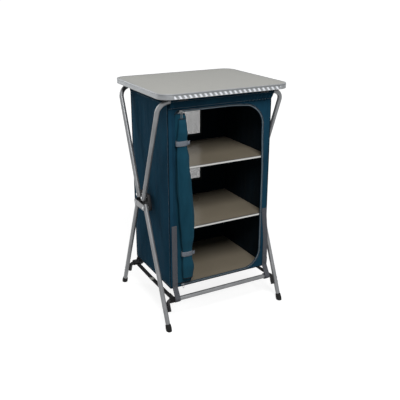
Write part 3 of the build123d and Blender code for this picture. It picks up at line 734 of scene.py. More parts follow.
def ring_at(z):
    """The cabinet's outline at a height, with small rounded corners."""
    half = (BOX_HALF_WIDTH, BOX_HALF_DEPTH)
    outline = rounded((-half[0], -half[1]), half, 4 * [PIPING_CORNER], 4 * [3])
    return [(point.x, point.y, z) for point, _ in outline]


uprights = [[(x * BOX_HALF_WIDTH, y * BOX_HALF_DEPTH, z) for z in steps(BOX_BOTTOM, BOX_TOP, 24)]
            for x in (-1, 1) for y in (-1, 1)]
levels = [ring_at(BOX_BOTTOM + PIPING_RADIUS / 2), ring_at(BOX_TOP)]
for name, lines, closed in (("upright", uprights, False), ("level", levels, True)):
    piping = tube_along(f"cabinet_{name}_piping", lines, PIPING_RADIUS, piping_cloth, closed)
    on_cabinet(piping)

low, high, reach = BOX_BOTTOM + SEAM_MARGIN, BOX_TOP - SEAM_MARGIN, BOX_HALF_DEPTH - SEAM_MARGIN
seam_corners = ((-reach, low), (reach, low), (reach, high), (-reach, high), (-reach, low))
side_seams = [[(sign * (BOX_HALF_WIDTH + 0.0003), y, z) for y, z in seam_corners] for sign in (-1, 1)]
on_cabinet(sew("side_seam_stitches", *side_seams))

# Bar sleeves: a strip of the cabinet's cloth wrapped round each top bar and sewn down over the cabinet's
# panel. It hangs from the bar in small folds, with a turned hem that has a row of stitches.
SLEEVE_RADIUS = 0.0117
SLEEVE_RIPPLE = 0.0016
SLEEVE_FREE = 0.014
BAR_OUT = 0.015


def sleeve_relief(x, z, side):
    """The front sleeve has the front's gathers and ripples of its own, and the rear one has soft folds."""
    if side < 0:
        return front_relief(x, BOX_TOP - 0.01) + SLEEVE_RIPPLE * (0.5 + 0.5 * wander(x * 45, z * 8, 8))
    return creases(x, z, 31) * 0.4


for end, side in ENDS.items():
    low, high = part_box(f"{end}_bar_sleeve")
    hem = Vector((-BOX_HALF_DEPTH - 0.0004, low.z))
    centre = Vector((-BOX_HALF_DEPTH - BAR_OUT, high.z - SLEEVE_RADIUS))
    to_hem = hem - centre
    touch_at = math.atan2(to_hem.y, to_hem.x) - math.acos(SLEEVE_RADIUS / to_hem.length)
    profile = []
    for turn in steps(touch_at - math.radians(330), touch_at, 30):
        profile.append(centre + SLEEVE_RADIUS * Vector((math.cos(turn), math.sin(turn))))
    touch = profile[-1]
    profile += [touch.lerp(hem, share) for share in steps(0, 1, 12)[1:]]
    sleeve_rows = []
    for place in profile:
        below_bar = ease((touch.y - place.y) / SLEEVE_FREE)
        row = []
        for x in steps(low.x, high.x, 200):
            relief = below_bar * sleeve_relief(x, place.y, side)
            row.append((x, -side * (place.x - relief), place.y))
        sleeve_rows.append(row)
    sleeve = cloth(f"{end}_bar_sleeve_cloth", sleeve_rows, blue_cloth, cloth_back)
    if side < 0:
        sleeve.data.flip_normals()
    thicken(sleeve, CLOTH_THICKNESS, 1)
    settle(sleeve, f"{end}_upper_frame", f"{end}_bar_sleeve")
    hem_rows = [[(x, y + side * 0.0003, z) for x, y, z in sleeve_rows[index]] for index in (-3, -16)]
    settle(sew(f"{end}_sleeve_stitches", *hem_rows), f"{end}_upper_frame")

# Shelves and bottom board: fibreboard 6 mm thick with a glossy brown-grey laminate, each with a bright
# aluminium angle pressed over its front edge.


def laminate(name, dark, light, smooth, rough, speckle, lacquer):
    material, tree, shader = finish(name, Specular_IOR_Level=0.3, Coat_Weight=lacquer, Coat_Roughness=0.18)
    broad, fine = cloudy(tree, 4, 2), cloudy(tree, speckle, 2)
    grain = combined(tree, broad, fine, "ADD")
    coat(tree, shader, between(tree, grain, dark, light, 0.7, 1.3), spread(tree, broad, smooth, rough))
    raise_grain(tree, shader, fine, 0.00006)
    return material


shelf_laminate = laminate("shelf_laminate", (0.168, 0.144, 0.106), (0.215, 0.185, 0.138), 0.26, 0.36,
                          speckle=260, lacquer=0.3)
shelf_trim = mottled("shelf_trim", (0.42, 0.42, 0.4074), (0.60, 0.60, 0.582), 0.25, 0.41, 5, 4, (1, 60, 60),
                     Metallic=0.85, Coat_Weight=0.1)[0]
for name in ("upper_shelf", "lower_shelf", "bottom_board"):
    dress(shelf_laminate, name)
    dress(shelf_trim, f"{name}_trim")

# Door zip: a pale grey coil of teeth on a dark woven tape, sewn along the opening, with a metal slider and
# puller at each of its two ends on the left. The left edge, where the flap is sewn to the front, has none.
TAPE_WIDTH = 0.0102
TAPE_THICKNESS = 0.0005
TAPE_Y = -BOX_HALF_DEPTH - 0.0009
TAPE_ENDS_AT = -0.200
ZIP_STEP = 0.006
TOOTH_PITCH = 0.0025
TOOTH_WIDTH = 0.0040
TOOTH_LENGTH = 0.0015
TOOTH_HEIGHT = 0.0016
CHAIN_MIDDLE = 0.0035
SLIDER_CORNERS = 32
BRIDGE_HALF = ((0.0055, 0.0036), (0.0045, 0.0008), (0.003, 0))


def webbing(name, dark, light, pitch):
    """Woven tape: ribs across its width, with a fainter set of threads along it."""
    material, tree, shader = finish(name, Sheen_Weight=0.03, Sheen_Roughness=0.5, Specular_IOR_Level=0.12)
    weave = crossed_threads(tree, 0.3 / pitch, 0.5 / pitch)
    coat(tree, shader, between(tree, weave, dark, light, 0.1, 0.8),
         spread(tree, cloudy(tree, 60, 3), 0.6, 0.8))
    raise_grain(tree, shader, weave, 0.0004, 0.8)
    return material


def tooth_tree(material):
    tree, first, last = node_tree("teeth", Pitch=TOOTH_PITCH, Width=TOOTH_WIDTH, Height=TOOTH_HEIGHT,
                                  Length=TOOTH_LENGTH)
    sizes = first.outputs
    size = put(tree, "ShaderNodeCombineXYZ",
               {"X": sizes["Width"], "Y": sizes["Height"], "Z": sizes["Length"]})
    tooth = put(tree, "GeometryNodeMeshCube", {"Size": size.outputs["Vector"]}).outputs["Mesh"]
    row = row_along(tree, sizes["Geometry"], sizes["Pitch"], tooth)
    return close_tree(tree, last, row, material)


def round_door(growth, y):
    return [(point.x, y, point.y) for point, _ in door_line(growth, ZIP_STEP)]


tape_weave = webbing("zip_tape", (0.004, 0.012, 0.020), (0.010, 0.028, 0.042), 0.0009)
tooth_plastic = moulded("zip_teeth", (0.11, 0.145, 0.175), (0.18, 0.225, 0.26), 0.42, 600)
zip_metal = moulded("zip_metal", (0.17, 0.18, 0.19), (0.30, 0.31, 0.32), 0.32, 500)
SLIDER_X = middle_of("upper_zip_slider").x

tape_rows = [round_door(growth, TAPE_Y)[::-1] for growth in steps(0, TAPE_WIDTH, 4)]


def right_of_flap(i, j):
    return min(tape_rows[i][j][0], tape_rows[i][j + 1][0]) > TAPE_ENDS_AT


def zip_path(growth, y):
    """Round the opening from the lower slider to the upper one, by way of its right side."""
    line = round_door(growth, y)[:-1]
    start = next(index for index in range(len(line)) if line[index - 1][0] < SLIDER_X <= line[index][0])
    return [point for point in line[start:] + line[:start] if point[0] >= SLIDER_X]


tape = thicken(cloth("door_zip_tape", tape_rows, tape_weave, keep=right_of_flap), TAPE_THICKNESS)
teeth_line = line_mesh("teeth_line", zip_path(CHAIN_MIDDLE, TAPE_Y - TOOTH_HEIGHT / 2))
teeth = grown("door_zip_teeth", tooth_tree(tooth_plastic), teeth_line)
tape_stitches = sew("door_zip_stitches", zip_path(TAPE_WIDTH - 0.0014, TAPE_Y - 0.0001))
zip_length = running(zip_path(TAPE_WIDTH / 2, 0))[-1] + 2 * (SLIDER_X - TAPE_ENDS_AT)
settle(tape, "door_edge", "door_zip_chain")
for piece in (teeth, tape_stitches):
    settle(piece, "door_edge")

slider_low, slider_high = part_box("upper_zip_slider")
SLIDER_HALF_X = (slider_high.x - slider_low.x) / 2
SLIDER_HALF_Z = (slider_high.z - slider_low.z) / 2
PLATE_Y = slider_low.y + 0.006
BRIDGE_Y = slider_low.y + 0.0024


def signed_power(value, power):
    return math.copysign(abs(value) ** power, value)


def slider_plate(shape, z):
    """A slider's rounded front plate, narrower at its waist and rounded towards the front."""
    below = None
    for lift, share in ((0.0, 1.0), (-0.0014, 0.98), (-0.0021, 0.86), (-0.0023, 0.5)):
        ring = []
        for index in range(SLIDER_CORNERS):
            turn = math.tau * index / SLIDER_CORNERS
            across, up = math.cos(turn), math.sin(turn)
            waist = 1 - 0.22 * up ** 2 * (1 - abs(across))
            ring.append(shape.verts.new((SLIDER_X + SLIDER_HALF_X * share * signed_power(across, 0.7),
                                         PLATE_Y + 0.0021 + lift,
                                         z + SLIDER_HALF_Z * share * waist * signed_power(up, 0.7))))
        if below:
            join_rings(shape, below, ring)
        else:
            shape.faces.new(ring)
        below = ring
    shape.faces.new(below)


def ring_line(half_width, top, bottom):
    """A puller's teardrop in wire: narrow at its top, round at its foot."""
    line = []
    for turn in steps(0, math.tau, 40)[:-1]:
        height = 0.5 + 0.5 * math.cos(turn)
        width = half_width * math.sin(turn) * (1 - 0.55 * height)
        line.append((SLIDER_X + width, BRIDGE_Y, bottom + (top - bottom) * height))
    return line


for name in ("upper", "lower"):
    z = middle_of(f"{name}_zip_slider").z
    shape = bmesh.new()
    slider_plate(shape, z)
    slider = round_off(mesh_piece(f"{name}_slider", shape, zip_metal), 0.0005, 50, 2)
    bridge = [(SLIDER_X - aside, BRIDGE_Y + back, z) for aside, back in BRIDGE_HALF]
    bridge += [(SLIDER_X + aside, BRIDGE_Y + back, z) for aside, back in reversed(BRIDGE_HALF)]
    tube_along(f"{name}_slider_bridge", [bridge], 0.0008, zip_metal).parent = slider
    ring = ring_line(0.0042, z + 0.0012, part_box(f"{name}_zip_puller")[0].z)
    puller = tube_along(f"{name}_puller", [ring], 0.0009, zip_metal, closed=True)
    settle(slider, f"{name}_slider", f"{name}_zip_slider")
    settle(puller, f"{name}_puller", f"{name}_zip_puller")

# Rolled door: the flap that closes the opening, of the front's cloth, with zip tape along its upper and
# lower edges. It is sewn to the opening's left edge, runs behind the roll, and is rolled up loosely from
# its other edge. The roll bulges between its two ties.
ROLL_SECTIONS = (
    (0.206, -0.172, 0.027, 0.024), (0.262, -0.171, 0.031, 0.030), (0.313, -0.173, 0.025, 0.022),
    (0.337, -0.173, 0.025, 0.022), (0.400, -0.174, 0.034, 0.032), (0.500, -0.178, 0.039, 0.036),
    (0.640, -0.187, 0.037, 0.035), (0.750, -0.192, 0.032, 0.031), (0.804, -0.193, 0.025, 0.022),
    (0.828, -0.193, 0.025, 0.022), (0.858, -0.190, 0.025, 0.024), (0.888, -0.187, 0.021, 0.016),
    (0.916, -0.186, 0.019, 0.008),
)
ROLL_FOOT, ROLL_HEAD = ROLL_SECTIONS[0][0], ROLL_SECTIONS[-1][0]
ROLL_BACK = 0.1945
ROLL_TURNS = 3.3
ROLL_CORE = 0.22
ROLL_SQUARENESS = 2.5
ROLL_FOLD = 0.11
ROLL_LEVELS = 130
ROLL_CLOTH = 0.0008
DOOR_EDGE_TAPE = 0.005
FLAP_LEAVES_AT = 50
FLAP_MARGIN = 0.002
FLAP_SEAM = 0.0065
FLAP_Y = -BOX_HALF_DEPTH - 0.0013
TIE_MIDDLES = {"lower": 0.325, "upper": 0.816}

# The roll's cloth is the front's cloth set a little lighter: painted light, for the light that the roll
# catches.
roll_cloth_painted_lighter = coated_cloth("roll_cloth_painted_lighter", (0.0065, 0.038, 0.062), (0.0115, 0.060, 0.094), 0.02)


def roll_at(z):
    """The middle, half width and thickness of the roll at a height, run smoothly through its sections."""
    for below, above in zip(ROLL_SECTIONS, ROLL_SECTIONS[1:]):
        if z <= above[0] or above is ROLL_SECTIONS[-1]:
            share = ease((z - below[0]) / (above[0] - below[0]))
            return [low + (high - low) * share for low, high in zip(below[1:], above[1:])]


def roll_place(z, turn, share, growth=0.0):
    """A place on the roll: share is 1 at its outer turn, and the turn is measured from its right side."""
    middle, half_width, thickness = roll_at(z)
    across, deep = math.cos(turn), math.sin(turn)
    near_tie = min(abs(z - tie) for tie in TIE_MIDDLES.values())
    folds = wander(across * 1.6, deep * 1.6, z * 13)
    pleats = 0.6 * wander(across * 5, deep * 5, z * 5 + 9)
    swell = 1 - ROLL_FOLD * (0.5 + folds + pleats) * ease((near_tie - 0.012) / 0.03)
    power = 2 / ROLL_SQUARENESS
    x = signed_power(across, power) * (half_width * share * swell + growth)
    y = signed_power(deep, power) * (thickness / 2 * share * swell + growth)
    return middle + x, y - ROLL_BACK - thickness / 2


roll_rows = []
for level in steps(0, 1, ROLL_LEVELS):
    edge_z = DOOR_BOTTOM + FLAP_MARGIN + level * (DOOR_TOP - DOOR_BOTTOM - 2 * FLAP_MARGIN)
    roll_z = ROLL_FOOT + level * (ROLL_HEAD - ROLL_FOOT)
    row = []
    for along in steps(0, ROLL_TURNS, 170):
        share = 1 - (1 - ROLL_CORE) * along / ROLL_TURNS
        x, y = roll_place(roll_z, math.radians(FLAP_LEAVES_AT) - math.tau * along, share)
        row.append((x, y, edge_z + (roll_z - edge_z) * ease((along + 0.05) / 0.22)))
    edge = Vector((-DOOR_HALF_WIDTH - 0.0005, FLAP_Y, edge_z))
    flap = [tuple(edge.lerp(Vector(row[0]), share)) for share in steps(0, 1, 15)[:-1]]
    roll_rows.append([(-DOOR_HALF_WIDTH - FLAP_SEAM, FLAP_Y, edge_z)] + flap + row)
roll = cloth("rolled_door_cloth", roll_rows, roll_cloth_painted_lighter, tape_weave)
faces_in_row = len(roll_rows[0]) - 1
edge_rows = round(DOOR_EDGE_TAPE / ((ROLL_HEAD - ROLL_FOOT) / ROLL_LEVELS))
for index, face in enumerate(roll.data.polygons):
    row = index // faces_in_row
    if min(row, ROLL_LEVELS - 1 - row) < edge_rows:
        face.material_index = 1
roll.data.flip_normals()
thicken(roll, ROLL_CLOTH)
on_cabinet(roll, "rolled_door")
flap_line = [(-DOOR_HALF_WIDTH - FLAP_SEAM + 0.002, FLAP_Y - 0.0002, z)
             for z in (DOOR_BOTTOM + FLAP_MARGIN, DOOR_TOP - FLAP_MARGIN)]
on_cabinet(sew("door_flap_stitches", flap_line))

# Door ties: two bands of pale webbing round the rolled door. Each is pulled tight, and has a loose end
# at the right.
TIE_HALF_HEIGHT = 0.011
TIE_GAP = 0.0004
TIE_THICKNESS = 0.0009
TIE_PINCH = 0.0006
TIE_END = 0.010

tie_webbing = webbing("tie_webbing", (0.12, 0.136, 0.16), (0.22, 0.245, 0.28), 0.0022)
for name, middle in TIE_MIDDLES.items():
    tie_rows = []
    for z in steps(middle - TIE_HALF_HEIGHT, middle + TIE_HALF_HEIGHT, 6):
        growth = TIE_GAP + TIE_THICKNESS - TIE_PINCH * abs(z - middle) / TIE_HALF_HEIGHT
        tie_rows.append([(*roll_place(middle, turn, 1.0, growth), z) for turn in steps(0, math.tau, 72)])
    tie = thicken(cloth(f"{name}_door_tie", tie_rows, tie_webbing), TIE_THICKNESS)
    x, y = roll_place(middle, math.radians(-35), 1.0, TIE_GAP + 2.2 * TIE_THICKNESS)
    end_rows = []
    for across in steps(-0.7, 0.7, 4):
        row = []
        for share in steps(0, 1, 14):
            z = middle + across * TIE_HALF_HEIGHT + 0.4 * TIE_END * share * share
            row.append((x + TIE_END * share, y - 0.1 * TIE_END * math.sin(2.2 * share), z))
        end_rows.append(row)
    loose = thicken(cloth(f"{name}_tie_end", end_rows, tie_webbing), TIE_THICKNESS)
    on_cabinet(tie, "door_ties" if name == "lower" else None)
    on_cabinet(loose)

# Hanging straps: grey webbing sewn to the cabinet's front and back. Each runs down to the rail, goes round
# it and comes back up over itself, where it is sewn down, so that the cabinet can't swing.
STRAP_THICKNESS = 0.0016
STRAP_LAP = 0.0018
STRAP_WIDTH = 0.024
STRAP_STEP = 0.006
STRAP_FACE = BOX_HALF_DEPTH + STRAP_THICKNESS + 0.0004
STRAP_TURN = 0.1658
LAP_TOP = 0.206
LAP_TURN = 0.1666
LOOP_RADIUS = 0.0119
LEANING_LOOP_RADIUS = 0.0124
LEANING_TOP_X = 0.2305
LEANING_FOOT_X = 0.2425
LEANS_FROM = 0.28
RIBBON_EDGE = 0.0004
SEAM_LIFT = 0.0003
SEAM_HEIGHT = 0.019
SEAM_HALF_WIDTH = 0.009

grey_webbing = webbing("grey_webbing", (0.060, 0.064, 0.074), (0.150, 0.155, 0.172), 0.0034)
strap_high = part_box("front_straps")[1]
STRAP_X = strap_high.x - STRAP_WIDTH / 2
STRAP_TOP = strap_high.z
RAIL = tuple(middle_of("rear_rail").yz)


def tangent_turn(centre, radius, place):
    """The turn on a circle, on its outer side, at which a line from a place above touches it."""
    away = Vector(place) - Vector(centre)
    return math.atan2(away.y, away.x) - math.acos(radius / away.length)


def on_circle(centre, radius, turn):
    return (centre[0] + radius * math.cos(turn), centre[1] + radius * math.sin(turn))


def ribbon(name, path, middle_at, width, side, material):
    """Webbing with its outer face along a path of (distance outwards, height), and slightly rounded edges.
    Its middle's place along X depends on the height."""
    rows = []
    for index, (out, z) in enumerate(path):
        before, after = path[max(index - 1, 0)], path[min(index + 1, len(path) - 1)]
        along = (Vector(after) - Vector(before)).normalized()
        row = []
        for share in (-1, -0.9, -0.6, 0, 0.6, 0.9, 1):
            drop = RIBBON_EDGE * ease((abs(share) - 0.8) / 0.2)
            row.append((middle_at(z) + share * width / 2, side * (out + along.y * drop), z - along.x * drop))
        rows.append(row)
    piece = cloth(name, rows, material)
    if side > 0:
        piece.data.flip_normals()
    return thicken(piece, STRAP_THICKNESS)


def even_path(corners):
    """The path through its corners, with points no further apart than a step."""
    path = [corners[0]]
    for before, after in zip(corners, corners[1:]):
        count = max(1, math.ceil((Vector(after) - Vector(before)).length / STRAP_STEP))
        path += [tuple(Vector(before).lerp(Vector(after), index / count)) for index in range(1, count + 1)]
    return path


def face_relief(x, z, side):
    relief = front_relief if side < 0 else back_relief
    return max(relief(x + shift, z) for shift in (-0.011, -0.006, 0, 0.006, 0.011))


def hang(top, foot, out, middle_at, side):
    """A path down the cabinet's face, which leaves the cloth's folds just below the cabinet."""
    heights = [top - index * STRAP_STEP for index in range(int((top - foot) / STRAP_STEP))] + [foot]
    return [(out + face_relief(middle_at(z), z, side) * ease((z - 0.17) / 0.02), z) for z in heights]


def strap_middle(leans, sign):
    """Each strap hangs straight, but the front right one leans outwards to the corner of the rail."""
    if leans:
        to_top = LEANING_TOP_X - LEANING_FOOT_X
        return lambda z: LEANING_FOOT_X + to_top * ease((z - LEANS_FROM) / (STRAP_TOP - LEANS_FROM))
    return lambda z: sign * STRAP_X


for end, side in ENDS.items():
    top_seams, lap_seams = [], []
    for hand, sign in HANDS.items():
        leans = (end, hand) == ("front", "right")
        middle_at = strap_middle(leans, sign)
        loop_radius = LEANING_LOOP_RADIUS if leans else LOOP_RADIUS
        path = hang(STRAP_TOP, STRAP_TURN, STRAP_FACE, middle_at, side)
        foot = on_circle(RAIL, loop_radius, tangent_turn(RAIL, loop_radius, path[-1]))
        path = even_path(path + [tuple(Vector(path[-1]).lerp(Vector(foot), 0.93))])
        strap = ribbon(f"{end}_{hand}_hanging_strap", path, middle_at, STRAP_WIDTH, side, grey_webbing)
        on_cabinet(strap, f"{end}_straps" if hand == "left" else None)
        lap = hang(LAP_TOP, LAP_TURN, STRAP_FACE + STRAP_LAP, middle_at, side)
        turn = tangent_turn(RAIL, loop_radius + STRAP_LAP, lap[-1])
        for along in steps(0, 1, 40):
            radius = loop_radius + STRAP_LAP * (1 - ease(along / 0.25))
            lap.append(on_circle(RAIL, radius, turn - along * math.radians(335)))
        lap = ribbon(f"{end}_{hand}_strap_loop", even_path(lap), middle_at, STRAP_WIDTH, side, grey_webbing)
        settle(lap, f"{end}_lower_frame")
        for seams, lift, sewn_top in ((top_seams, 0, STRAP_TOP), (lap_seams, STRAP_LAP, LAP_TOP)):
            high = sewn_top - 0.003
            low = high - SEAM_HEIGHT
            out = STRAP_FACE + lift + SEAM_LIFT + face_relief(middle_at(high), (low + high) / 2, side)
            left, right = middle_at(high) - SEAM_HALF_WIDTH, middle_at(high) + SEAM_HALF_WIDTH
            corners = ((left, high), (right, high), (right, low), (left, low), (left, high), (right, low))
            seams.append([(x, side * out, z) for x, z in corners])
    on_cabinet(sew(f"{end}_strap_top_stitches", *top_seams))
    settle(sew(f"{end}_strap_lap_stitches", *lap_seams), f"{end}_lower_frame")

# Side straps: black webbing low on each side, from the front rail to the rear rail, looped round both and
# sewn to itself. It stops the legs from spreading, and has a pale band at its middle.
SIDE_STRAP_WIDTH = 0.020
SIDE_STRAP_INNER_X = 0.2396
SIDE_STRAP_SAG = 0.0035
SIDE_LOOP_RADIUS = 0.0103
SIDE_LAP = 0.0018
SIDE_LAP_LENGTH = 0.040
PLAIN_LAP_LENGTH = 0.001
BAND_HALF = 0.011
BAND_GAP = 0.0012
BAND_BEND = 0.0012
BAND_THICKNESS = 0.0009

black_webbing = webbing("black_webbing", (0.003, 0.003, 0.004), (0.010, 0.010, 0.011), 0.0016)
band_tape = webbing("band_tape", (0.30, 0.30, 0.28), (0.46, 0.46, 0.44), 0.0012)
SIDE_STRAP_X = (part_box("front_strap_loops")[1].x + SIDE_STRAP_INNER_X) / 2
SIDE_STRAP_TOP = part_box("side_straps")[1].z


def strap_height(y):
    """The height of a side strap's upper face, which sags a little between the rails."""
    return SIDE_STRAP_TOP - SIDE_STRAP_SAG * (1 - (y / RAIL[0]) ** 2)


def on_rails(piece, node):
    """Settles a piece on the rear lower frame, with a mesh of its own."""
    settle(piece, "rear_lower_frame", node)
    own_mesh(piece)


for hand, sign in HANDS.items():
    x = sign * SIDE_STRAP_X
    leads = hand == "left"
    path = [(y, strap_height(y)) for y in steps(RAIL[0], -RAIL[0], 90)]
    strap = ribbon(f"{hand}_side_strap", path, lambda z: x, SIDE_STRAP_WIDTH, 1, black_webbing)
    on_rails(strap, "side_straps" if leads else None)
    for end, side in ENDS.items():
        plain = (end, hand) == ("front", "right")
        length, lift = (PLAIN_LAP_LENGTH, 0) if plain else (SIDE_LAP_LENGTH, SIDE_LAP)
        lap = [(RAIL[0] - along, strap_height(RAIL[0] - along) + lift) for along in steps(length, 0, 10)]
        top = lap[-1][1] - RAIL[1]
        for along in steps(0, 1, 44)[1:]:
            radius = SIDE_LOOP_RADIUS + (top - SIDE_LOOP_RADIUS) * (1 - ease(along / 0.3))
            lap.append(on_circle(RAIL, radius, math.radians(90) - along * math.radians(345)))
        loop = ribbon(f"{end}_{hand}_side_loop", lap, lambda z: x, SIDE_STRAP_WIDTH, side, black_webbing)
        settle(loop, f"{end}_lower_frame", f"{end}_strap_loops" if leads else None)
    middle_z = strap_height(0) - STRAP_THICKNESS / 2
    half = (SIDE_STRAP_WIDTH / 2 + BAND_GAP, STRAP_THICKNESS / 2 + BAND_GAP)
    outline = [point for point, _ in rounded((-half[0], -half[1]), half, 4 * [BAND_BEND], 4 * [4])]
    outline = outline[5:] + outline[:6]
    band_rows = [[(x + point.x, y, middle_z + point.y) for point in outline]
                 for y in steps(BAND_HALF, -BAND_HALF, 6)]
    band = thicken(cloth(f"{hand}_strap_band", band_rows, band_tape), BAND_THICKNESS)
    on_rails(band, "side_strap_bands" if leads else None)

# Tabletop edge: an extruded aluminium profile bent round the board, with a thin lip over the board's edge
# and a groove under it. Slanted flutes are pressed into its front and rear stretches. Its ends are plain.
# The ridges between the flutes carry a painted highlight: a bright colour set on each point of the mesh.
TOP_CORNER = 0.055
EDGE_LIP = (
    (0.0080, 0.0110), (0.0080, 0.0220), (0.0016, 0.0220), (0.0007, 0.0218), (0.0002, 0.0213), (0.0, 0.0206),
    (0.0, 0.0180), (0.0004, 0.0178), (0.0020, 0.0176), (0.0020, 0.0162), (0.0004, 0.0160), (0.0, 0.0158),
)
EDGE_FOOT = ((0.0003, 0.0008), (0.0012, 0.0), (0.0200, 0.0), (0.0200, 0.0110))
FLUTED_LOW, FLUTED_HIGH = 0.0010, 0.0156
FLUTE_RUN_IN = 0.0018
FLUTE_PITCH = 0.0225
FLUTE_LEAN = 0.75
FLUTE_DEPTH = 0.0022
FLUTE_STEP = 0.0016
PLAIN_STEP = 0.030
STRAIGHT = 0.999

edge_low, edge_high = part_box("tabletop_edge")
TOP_HALF_WIDTH, TOP_HALF_DEPTH = edge_high.x, edge_high.y


def flute(point, outward, height):
    """How deep the profile is pressed in at a place, and how much of a crest it has, both from 0 to 1."""
    if abs(outward.y) < STRAIGHT:
        return 0.0, 0.0
    along = point.x * -outward.y
    fluted = ease((TOP_HALF_WIDTH - 0.8 * TOP_CORNER - abs(point.x)) / 0.006)
    rise = ease((height - FLUTED_LOW) / FLUTE_RUN_IN) * ease((FLUTED_HIGH - height) / FLUTE_RUN_IN)
    wave = ease(0.66 + 0.85 * math.cos(math.tau * (along + FLUTE_LEAN * height) / FLUTE_PITCH))
    return fluted * rise * wave, fluted * rise * (1 - wave)


def fluted_aluminium():
    """Satin aluminium with a painted highlight on the ridges between its flutes, by the mesh's own values.
    """
    material, tree, shader = finish("fluted_aluminium", Metallic=0.7, Specular_IOR_Level=0.3)
    brushed = cloudy(tree, 5, 4, (6, 6, 160))
    satin = between(tree, brushed, (0.23, 0.24, 0.25), (0.30, 0.31, 0.32))
    # The bright ridge colour is a painted highlight, not a polish.
    painted_highlight_colour = between(tree, brushed, (0.64, 0.67, 0.71), (0.78, 0.80, 0.84))
    painted_highlight = put(tree, "ShaderNodeAttribute", attribute_name="painted_highlight").outputs["Fac"]
    tone = put(tree, "ShaderNodeMix", {0: painted_highlight, 6: satin, 7: painted_highlight_colour}, data_type="RGBA")
    coat(tree, shader, tone.outputs[2], spread(tree, brushed, 0.34, 0.50))
    return material


top_corners = rounded((-TOP_HALF_WIDTH, -TOP_HALF_DEPTH), (TOP_HALF_WIDTH, TOP_HALF_DEPTH),
                      4 * [TOP_CORNER], 4 * [24])
top_outline = fill_in(top_corners, lambda outward: FLUTE_STEP if abs(outward.y) > STRAIGHT else PLAIN_STEP)
flank = [(0.0, height) for height in steps(FLUTED_HIGH, FLUTED_LOW, 16)]
edge_rows, painted_highlights = [], []
for inset, height in [*EDGE_LIP, *flank, *EDGE_FOOT, EDGE_LIP[0]]:
    row = []
    for point, outward in top_outline:
        pressed, painted_highlight = flute(point, outward, height)
        place = point - outward * (inset + FLUTE_DEPTH * pressed)
        row.append((place.x, place.y, edge_low.z + height))
        painted_highlights.append(painted_highlight)
    edge_rows.append(row)
edge = cloth("tabletop_edge_profile", edge_rows, fluted_aluminium())
# Each point's share of the painted highlight, highest on the ridges between the flutes.
edge.data.attributes.new("painted_highlight", "FLOAT", "POINT").data.foreach_set("value", painted_highlights)
settle(edge, "tabletop", "tabletop_edge")

# Tabletop board: particle board with a satin grey-beige laminate, held in the profile by its lip.
top_laminate = laminate("top_laminate", (0.250, 0.249, 0.232), (0.294, 0.293, 0.273), 0.45, 0.58, 420, 0.02)
dress(top_laminate, "tabletop_board")

# Tabletop cleats: four moulded saddles screwed under the board, each hooked over a top bar through its
# sleeve. The outer jaw of each ends level with the bar's middle and is rounded, so that it slips on easily.
CLEAT_WIDTH = 0.040
CLEAT_INNER_Y = 0.197
BAR_Y, BAR_Z = 0.205, 0.990
CLEAT_SEAT = 0.0121
JAW_END = 0.9908

cleat_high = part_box("tabletop_cleats")[1]
saddle = [(cleat_high.y, cleat_high.z), (cleat_high.y, JAW_END + 0.002), (cleat_high.y - 0.0014, JAW_END),
          (BAR_Y + CLEAT_SEAT + 0.0010, JAW_END)]
seat_ends_at = math.acos((CLEAT_INNER_Y - BAR_Y) / CLEAT_SEAT)
saddle += [on_circle((BAR_Y, BAR_Z), CLEAT_SEAT, turn) for turn in steps(math.radians(8), seat_ends_at, 20)]
saddle.append((CLEAT_INNER_Y, cleat_high.z))
shape = bmesh.new()
for sign in HANDS.values():
    for side in ENDS.values():
        outline = [(side * y, z) for y, z in saddle]
        prism(shape, outline, sign * cleat_high.x, sign * (cleat_high.x - CLEAT_WIDTH))
cleats = round_off(mesh_piece("tabletop_saddles", shape, black_plastic), 0.0009, 35, 2)
settle(cleats, "tabletop", "tabletop_cleats")

# Studio: a pale floor that runs out of sight, an even white surrounding, a soft lamp overhead, the main one
# in front of the cupboard and a weaker one behind it. The camera stands where the photograph was taken.
FLOOR_REACH = 60
LAMP_TARGET = (0, 0, 0.55)
LENS = 54.24
VIEWPOINT = Vector((-1.2410, -2.3118, 1.4487))
VIEW_DIRECTION = Vector((0.4437, 0.8254, -0.3490))


def seen_by_camera(tree):
    """1 for rays from the camera, from gloss and through glass, and 0 for rays that light something."""
    path = put(tree, "ShaderNodeLightPath").outputs
    first = combined(tree, path["Is Camera Ray"], path["Is Glossy Ray"], "MAXIMUM")
    return combined(tree, first, path["Is Transmission Ray"], "MAXIMUM")


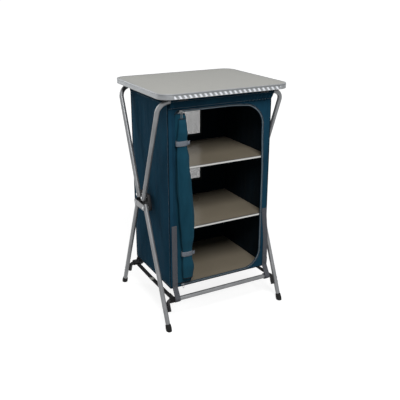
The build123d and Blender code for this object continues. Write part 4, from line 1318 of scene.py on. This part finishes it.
def floor_finish():
    """Grey to the light, so that shadows stay, and a white glow to the camera, paler with distance."""
    material, tree, shader = finish("floor", Base_Color=(0.3, 0.3, 0.3, 1), Roughness=0.9,
                                    Specular_IOR_Level=0.0, Emission_Color=(1, 1, 1, 1))
    reach = put(tree, "ShaderNodeVectorMath", {0: object_places(tree)}, operation="LENGTH").outputs["Value"]
    paler = put(tree, "ShaderNodeMapRange",
                {"Value": reach, "From Min": 1.0, "From Max": 4.0, "To Min": 0.84}).outputs["Result"]
    tree.links.new(combined(tree, seen_by_camera(tree), paler), shader.inputs["Emission Strength"])
    return material


floor_corners = [(x * FLOOR_REACH, y * FLOOR_REACH, 0) for x, y in ((-1, -1), (1, -1), (1, 1), (-1, 1))]
piece_of("floor", floor_corners, [(0, 1, 2, 3)], floor_finish())

world = bpy.data.worlds.new("studio")
bpy.context.scene.world = world
world.use_nodes = True
sky = world.node_tree
lighting, shown = [put(sky, "ShaderNodeBackground", {"Color": (1, 1, 1, 1), "Strength": strength})
                   for strength in (0.22, 1.0)]
mixed = put(sky, "ShaderNodeMixShader", {0: seen_by_camera(sky), 1: lighting.outputs["Background"],
                                         2: shown.outputs["Background"]})
sky.links.new(mixed.outputs["Shader"], sky.nodes["World Output"].inputs["Surface"])


def aimed(name, data, place, target):
    holder = placed(name, data)
    holder.location = place
    holder.rotation_euler = (Vector(target) - Vector(place)).to_track_quat("-Z", "Y").to_euler()
    return holder


for name, place, power, size in (
    ("key_lamp", (-0.9, -0.7, 3.2), 6, 1.6),
    ("front_lamp", (-0.6, -2.2, 2.8), 86, 1.2),
    ("rear_lamp", (-1.7, 2.0, 1.6), 32, 1.6),
):
    lamp = bpy.data.lights.new(name, "AREA")
    lamp.energy = power
    lamp.size = size
    aimed(name, lamp, place, LAMP_TARGET)

camera = aimed("camera", bpy.data.cameras.new("camera"), VIEWPOINT, VIEWPOINT + VIEW_DIRECTION)
camera.data.lens = LENS
bpy.context.scene.camera = camera
bpy.context.scene.view_settings.view_transform = "Standard"
